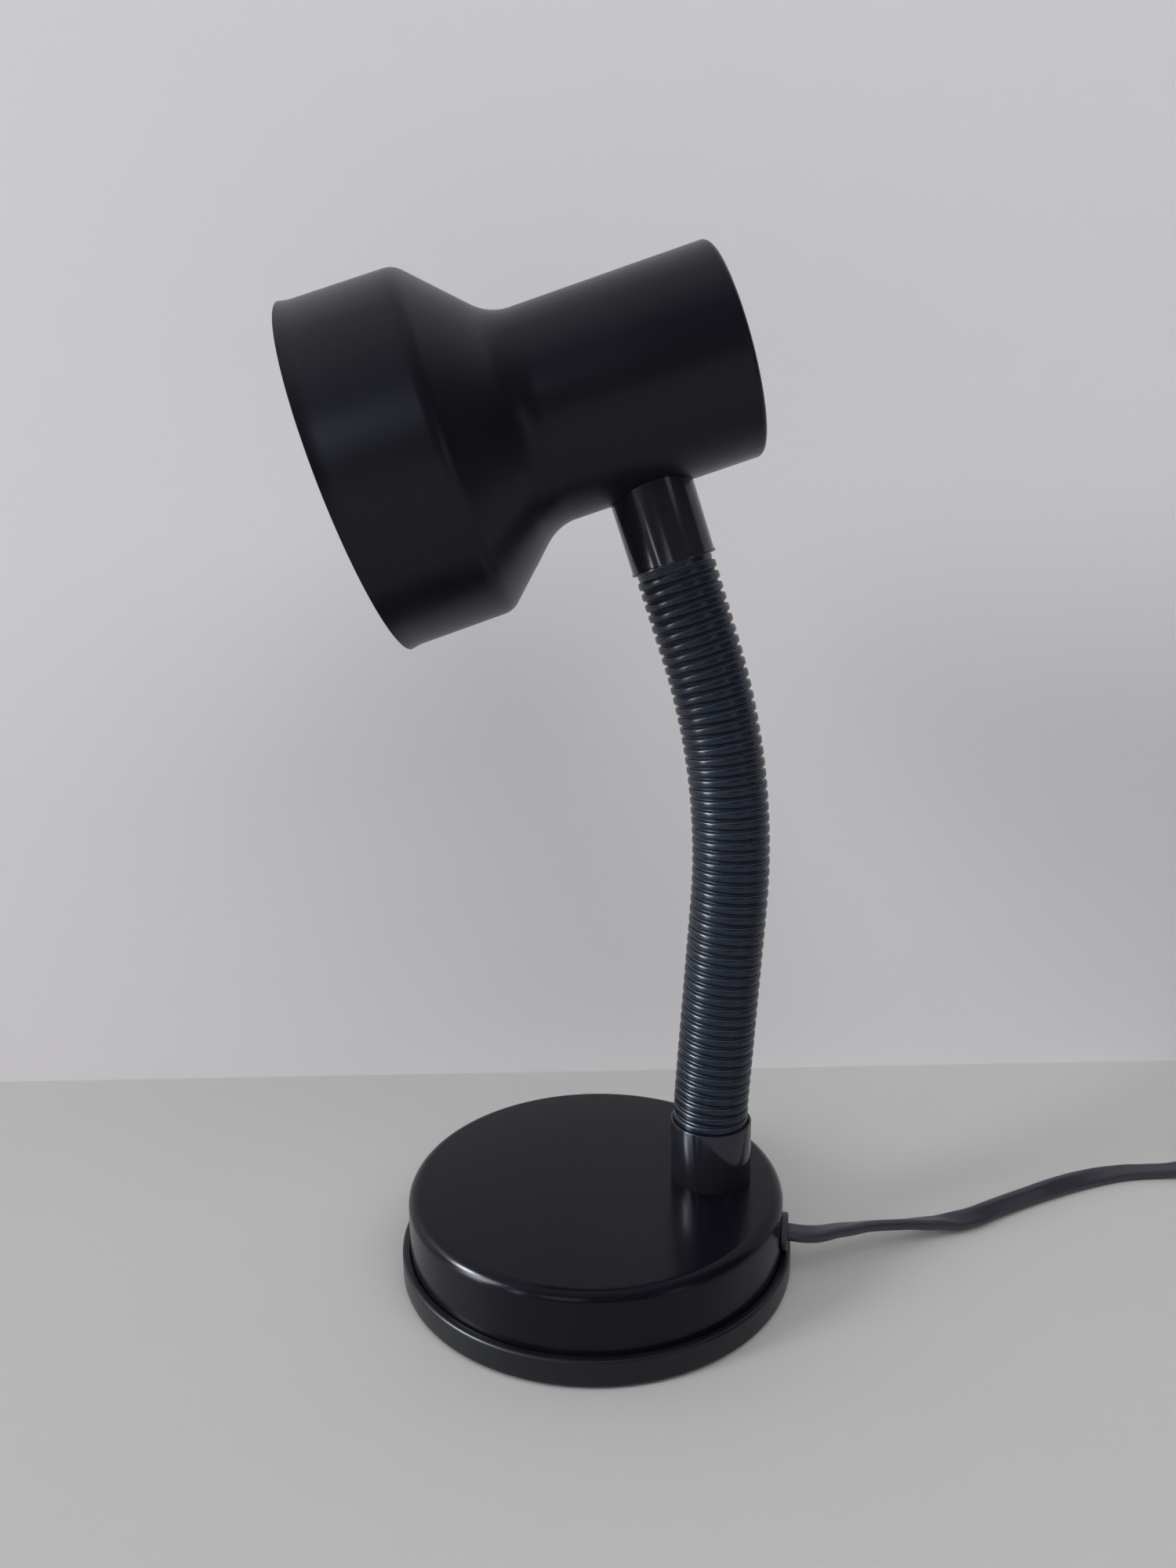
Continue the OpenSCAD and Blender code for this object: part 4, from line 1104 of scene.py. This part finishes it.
class LAMP_OT_neck(bpy.types.Operator):
    """Add the ribbed sleeve and the lead inside it, in pieces that bend at each point"""

    bl_idname = "lamp.neck"
    # """Add the ribbed sleeve, in one piece round each bending point"""
    bl_label = "Neck"

    def execute(self, context):
        guide, foot = neck_guide()
        inner = 9.2 * MM
        sleeves = [f"neck_sleeve_{k:02d}" for k in range(1, LINKS + 1)]
        sleeves = ["sleeve_foot"] + sleeves + ["sleeve_head"]
        for k, (start, end) in enumerate(zip(NECK_MARKS, NECK_MARKS[1:])):
            line = neck_points(start, end)
            profile = hose_outer(start, end) + [(inner, end), (inner, start)]
            profile = [(r, z - NECK_FROM) for r, z in profile]
            hose = turned(f"sleeve_part_{k + 1:02d}", closed(profile), 96, 40)
            self.mark_painted_rib_light(hose)
            use(hose, "CURVE", object=guide, deform_axis="POS_Z")
            settle(hose, Matrix.Translation(foot))
            dress(hose, "sleeve_pvc", None)
            NECK_BODIES[k + 1]
            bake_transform(hose)
            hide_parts(*sleeves[k + 1 if k else 0:k + 2])
        bpy.data.objects.remove(guide)
        return {"FINISHED"}

    def mark_painted_rib_light(self, hose):
        """Stores where the finish paints a highlight along each rib's upper edge, and paints light
        into each groove.
        """
        size = sizes()
        pitch = rib_pitch()
        upper = (pitch - size.groove) / 2 - 0.3 * MM
        crown = size.rib_radius - 0.45 * MM
        root = (size.root_radius - 0.1 * MM, size.root_radius + 0.2 * MM)
        edge = hose.data.attributes.new("rib_edge", "FLOAT", "POINT")
        for vertex in hose.data.vertices:
            x, y, z = vertex.co
            beside = (z + NECK_FROM) % pitch - pitch / 2
            radius = math.hypot(x, y)
            on_rib_highlight = radius > crown and beside > upper
            in_groove = root[0] < radius < root[1]
            # 1 where a highlight is painted along a rib's upper edge, 0.45 where light is painted
            # into a groove's shade
            edge.data[vertex.index].value = 0.45 * in_groove + float(on_rib_highlight)


def lead_base_points():
    """The lead from the grommet through the clamp and up into the neck."""
    place = GROMMET_UP + GROMMET_FACE * GROMMET_OUT
    neck_x = PIVOTS[0].x / MM
    clamp_z = 14.2
    clamp = Vector((middle_of("cord_clamp", 0), middle_of("cord_clamp", 1), clamp_z * MM)) / MM
    across = (Vector((place.x, place.y, clamp_z)) - clamp).normalized()
    return [
        place, place - 7 * GROMMET_OUT, clamp + 3.5 * across, clamp - 3 * across,
        Vector((neck_x + 3.2, -2.1, 15.2)), Vector((neck_x + 0.6, -0.4, 17.8)),
        Vector((neck_x, 0, 20.5)), Vector((neck_x, 0, 36.4)),
    ]


def lead_head_points():
    """The lead from the neck round the bracket into the lampholder."""
    turn = head_matrix()
    up = sizes().shade_up / MM
    bracket = 21.2
    lead_z = 44.3
    path = [
        (0, 32), (0, 39.5), (1.2, lead_z - 2.4), (4.5, lead_z - 0.3), (9, lead_z),
        (bracket + 1, lead_z), (bracket + 4.5, lead_z + 1.6), (bracket + 7, lead_z + 6),
        (bracket + 6.8, up - 3.6), (bracket + 4.2, up - 0.6), (bracket + 1, up), (bracket - 4, up),
    ]
    return [turn @ Vector((x * MM, 0, z * MM)) / MM for x, z in path]


class LAMP_OT_lead(bpy.types.Operator):
    """Add the lead inside the lamp, from the grommet up the neck to the lampholder"""

    bl_idname = "lamp.lead"
    bl_label = "Lead"

    def execute(self, context):
        section = cord_section()
        whole = neck_points(NECK_FROM, NECK_TO)
        foot = self.part("lead_in_base", lead_base_points() + [whole[0] / MM], section)
        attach(foot, "base")
        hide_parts("neck_lead")
        for k, (start, end) in enumerate(zip(NECK_MARKS, NECK_MARKS[1:])):
            line = neck_points(start, end)
            route = [point / MM for point in line[::4] + line[-1:]]
            part = self.part(f"lead_part_{k + 1:02d}", route, section)
            NECK_BODIES[k + 1]
            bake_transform(part)
        head = self.part("lead_in_head", [whole[-1] / MM] + lead_head_points(), section)
        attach(head, "head")
        bpy.data.objects.remove(section)
        return {"FINISHED"}

    def part(self, name, points, section):
        piece = cord_piece(name, points, section, 3)
        dress(piece, "cord_pvc", None)
        return piece


# ---- base


class LAMP_OT_base(bpy.types.Operator):
    """Add the base: the cover, the pan and the cord's grommet"""

    bl_idname = "lamp.base"
    bl_label = "Base"

    def execute(self, context):
        self.cover()
        self.pan()
        self.grommet()
        return {"FINISHED"}

    def cover(self):
        size = sizes()
        outer = high("base_cover", 0)
        top = high("base_cover", 2)
        foot = low("base_cover", 2)
        corner = (outer - size.cover_round, top - size.cover_round)
        profile = (
            [(outer, foot)]
            + arc(size.cover_round, 0, 90, 16, corner)
            + [(0.6 * outer, top), (0.3 * outer, top), (0, top), (0, top - size.wall)]
            + arc(size.cover_round - size.wall, 90, 0, 8, corner)
            + [(outer - size.wall, foot)]
        )
        cover = turned("base_cover_shell", closed(profile), 192)
        dress(cover, "cover_black", "base", "base_cover")

    def pan(self):
        size = sizes()
        outer = high("base_pan", 0)
        top = high("base_pan", 2)
        foot = low("base_pan", 2)
        floor = low("base_cover", 2)
        recess = high("base_pad", 0) + 0.3 * MM
        pad_top = high("base_pad", 2)
        lip = 0.9 * MM
        inner_lip = 0.5 * MM
        sole = 1.5 * MM
        inner = outer - size.pan_rim
        profile = (
            [(0, pad_top), (recess, pad_top), (recess, foot)]
            + arc(sole, -90, 0, 8, (outer - sole, foot + sole))
            + arc(lip, 0, 90, 5, (outer - lip, top - lip))
            + arc(inner_lip, 90, 180, 5, (inner + inner_lip, top - inner_lip))
            + [(inner, floor), (0, floor)]
        )
        pan = turned("base_pan_shell", closed(profile), 192)
        dress(pan, "pan_plastic", "base", "base_pan")

    def grommet(self):
        radius = half_of("grommet", 2)
        out = high("base_cover", 0)
        face = GROMMET_FACE * MM - out
        soft = 0.7 * MM
        neck = 4.9 * MM
        inside = -2.75 * MM
        wall_face = -1.35 * MM
        dish = 0.25 * MM
        hook = 1.1 * MM
        seat = 0.05 * MM
        cord_slot = (4.2, 7.2, 12)
        profile = (
            [(0, inside), (neck, inside), (neck + hook, wall_face), (neck, wall_face)]
            + [(neck, seat), (radius, seat)]
            + arc(soft, 0, 90, 6, (radius - soft, face - soft))
            + [(4.6 * MM, face), (4.2 * MM, face - dish), (0, face - dish)]
        )
        grommet = turned("grommet_ring", profile, 64)
        cut_with(grommet, block(cord_slot, (0, 0, 0)))
        tidy_faces(grommet)
        out_of_wall = Matrix.Translation((out, 0, GROMMET_HEIGHT * MM))
        place = Matrix.Rotation(GROMMET_TURN, 4, "Z") @ out_of_wall
        settle(grommet, place @ Matrix.Rotation(RIGHT_ANGLE, 4, "Y"))
        dress(grommet, "cord_pvc", "base", "grommet")


class LAMP_OT_collars(bpy.types.Operator):
    """Add the two collars at the ends of the neck"""

    bl_idname = "lamp.collars"
    bl_label = "Collars"

    def execute(self, context):
        wall = 0.9 * MM
        radius = half_of("lower_collar", 1)
        foot = low("lower_collar", 2)
        top = high("lower_collar", 2)
        edge = 0.3 * MM
        sole = 1.2 * MM
        bore = 5.3 * MM
        profile = (
            [(radius - 0.1 * MM, foot), (radius, foot + 0.2 * MM)]
            + arc(edge, 0, 90, 4, (radius - edge, top - edge))
            + arc(edge, 90, 180, 4, (radius - wall + edge, top - edge))
            + [(radius - wall, foot + sole), (bore, foot + sole), (bore, foot)]
        )
        lower = turned("collar_lower", closed(profile), 128)
        settle(lower, Matrix.Translation((PIVOTS[0].x, 0, 0)))
        dress(lower, "collar_gloss", "base", "lower_collar")

        size = sizes()
        radius = 12.85 * MM
        lip = radius + 0.3 * MM
        under, over = 0.2 * MM, 0.25 * MM   # the lip's two roundings
        foot = 8.5 * MM
        lip_top = foot + 0.95 * MM
        top = size.shade_up - size.narrow_radius + 6 * MM
        profile = (
            [(radius - wall, foot)]
            + arc(under, -90, 0, 3, (lip - under, foot + under))
            + arc(over, 0, 90, 3, (lip - over, lip_top - over))
            + [(radius, lip_top + 0.2 * MM), (radius, top), (radius - wall, top)]
        )
        upper = turned("collar_upper", closed(profile), 128)
        seat = size.narrow_radius + 0.12 * MM
        cut_with(upper, bar(seat, 80 * MM, 192, ALONG_X, (0, 0, size.shade_up)))
        tidy_faces(upper)
        settle(upper, head_matrix())
        dress(upper, "collar_gloss", "head", "upper_collar")
        return {"FINISHED"}


# ---- head


def shade_side(inward, fine):
    """The shade's profile, moved in by a wall's thickness: (radius, distance from the back)."""
    size = sizes()
    slope = math.radians(43)
    shoulder_at = 64.5 * MM
    hollow = 15 * MM
    edge = 7 * MM
    back = 1.8 * MM
    flare_at = size.shade_length - size.flare_length
    flare = math.atan((size.flare_radius - size.wide_radius) / (flare_at - shoulder_at))
    hollow_at = shoulder_at - hollow * math.tan(slope / 2)
    edge_at = (
        shoulder_at + (size.wide_radius - size.narrow_radius) / math.tan(slope)
        + edge * math.tan((slope - flare) / 2) * math.cos(flare)
    )
    slope_deg = math.degrees(slope)
    flare_deg = math.degrees(flare)
    narrow, wide = size.narrow_radius, size.wide_radius
    widening = size.mouth_radius - size.flare_radius
    return (
        arc(back - inward, -90, 0, fine, (narrow - back, back))
        + arc(hollow + inward, 180, 180 - slope_deg, 2 * fine, (narrow + hollow, hollow_at))
        + arc(edge - inward, -slope_deg, -flare_deg, 2 * fine, (wide - edge, edge_at))
        + [
            (size.flare_radius + lift * lift * widening - inward,
             flare_at + lift * size.flare_length)
            for lift in (0, 0.25, 0.5, 0.75, 1)
        ]
    )


class LAMP_OT_shade(bpy.types.Operator):
    """Add the pressed shade, black outside and white inside"""

    bl_idname = "lamp.shade"
    bl_label = "Shade"

    def execute(self, context):
        size = sizes()
        outer = shade_side(0, 8)
        inner = shade_side(size.wall, 6)
        back = [(0, 0), (0.5 * size.narrow_radius, 0)]
        profile = back + outer + inner[::-1] + [(0, size.wall)]
        shade = turned("shade_shell", profile, 192)
        coat(shade, "metal_black", "shade_lining")
        for face in shade.data.polygons:
            face.material_index = int(self.is_inside(face))
        settle(shade, shade_matrix())
        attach(shade, "head")
        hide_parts("shade", "shade_can")
        return {"FINISHED"}

    def is_inside(self, face):
        """True for the faces that look towards the shade's axis or out of its mouth."""
        outward = Vector((face.center.x, face.center.y, 0))
        if outward.length < 2 * MM:
            return face.normal.z > 0
        return face.normal.dot(outward.normalized()) < -0.02 or (
            face.normal.z > 0.5 and face.center.z < 0.9 * sizes().shade_length
        )


# ---- what stays as constructed


class LAMP_OT_fittings(bpy.types.Operator):
    """Give the fittings that keep their constructed shape their finishes"""

    bl_idname = "lamp.fittings"
    bl_label = "Fittings"

    def execute(self, context):
        slots = {part["node"]: part["material_slot"] for part in frame["record"]["subparts"]}
        for name, node in frame["nodes"].items():
            coat(node, slots[name])
        return {"FINISHED"}


class LAMP_PT_panel(bpy.types.Panel):
    """The desk lamp's sizes, colours and pieces"""

    bl_label = "Desk lamp"
    bl_idname = "LAMP_PT_panel"
    bl_space_type = "VIEW_3D"
    bl_region_type = "UI"
    bl_category = "Desk lamp"

    def draw(self, context):
        for part in SETTINGS:
            group = getattr(context.scene, part)
            box = self.layout.box()
            for name in group.bl_rna.properties.keys():
                if name not in {"rna_type", "name"}:
                    box.prop(group, name)
        for operator in OPERATORS:
            self.layout.operator(operator.bl_idname)


SETTINGS = {"lamp_sizes": LampSizes, "lamp_colours": LampColours, "lamp_stage": LampStage}
OPERATORS = [
    LAMP_OT_camera, LAMP_OT_switch, LAMP_OT_plug, LAMP_OT_cords, LAMP_OT_fittings,
    LAMP_OT_neck, LAMP_OT_lead, LAMP_OT_base, LAMP_OT_collars, LAMP_OT_shade, LAMP_OT_stage,
]
CLASSES = [*SETTINGS.values(), *OPERATORS, LAMP_PT_panel]


def register():
    for item in CLASSES:
        bpy.utils.register_class(item)
    for name, group in SETTINGS.items():
        setattr(bpy.types.Scene, name, PointerProperty(type=group))


def unregister():
    for name in SETTINGS:
        delattr(bpy.types.Scene, name)
    for item in reversed(CLASSES):
        bpy.utils.unregister_class(item)


def main():
    register()
    bpy.ops.lamp.camera()
    bpy.ops.lamp.switch()
    bpy.ops.lamp.plug()
    bpy.ops.lamp.cords()
    bpy.ops.lamp.fittings()
    bpy.ops.lamp.neck()
    bpy.ops.lamp.lead()
    bpy.ops.lamp.base()
    bpy.ops.lamp.collars()
    bpy.ops.lamp.shade()
    bpy.ops.lamp.stage()


if __name__ == "__main__":
    main()
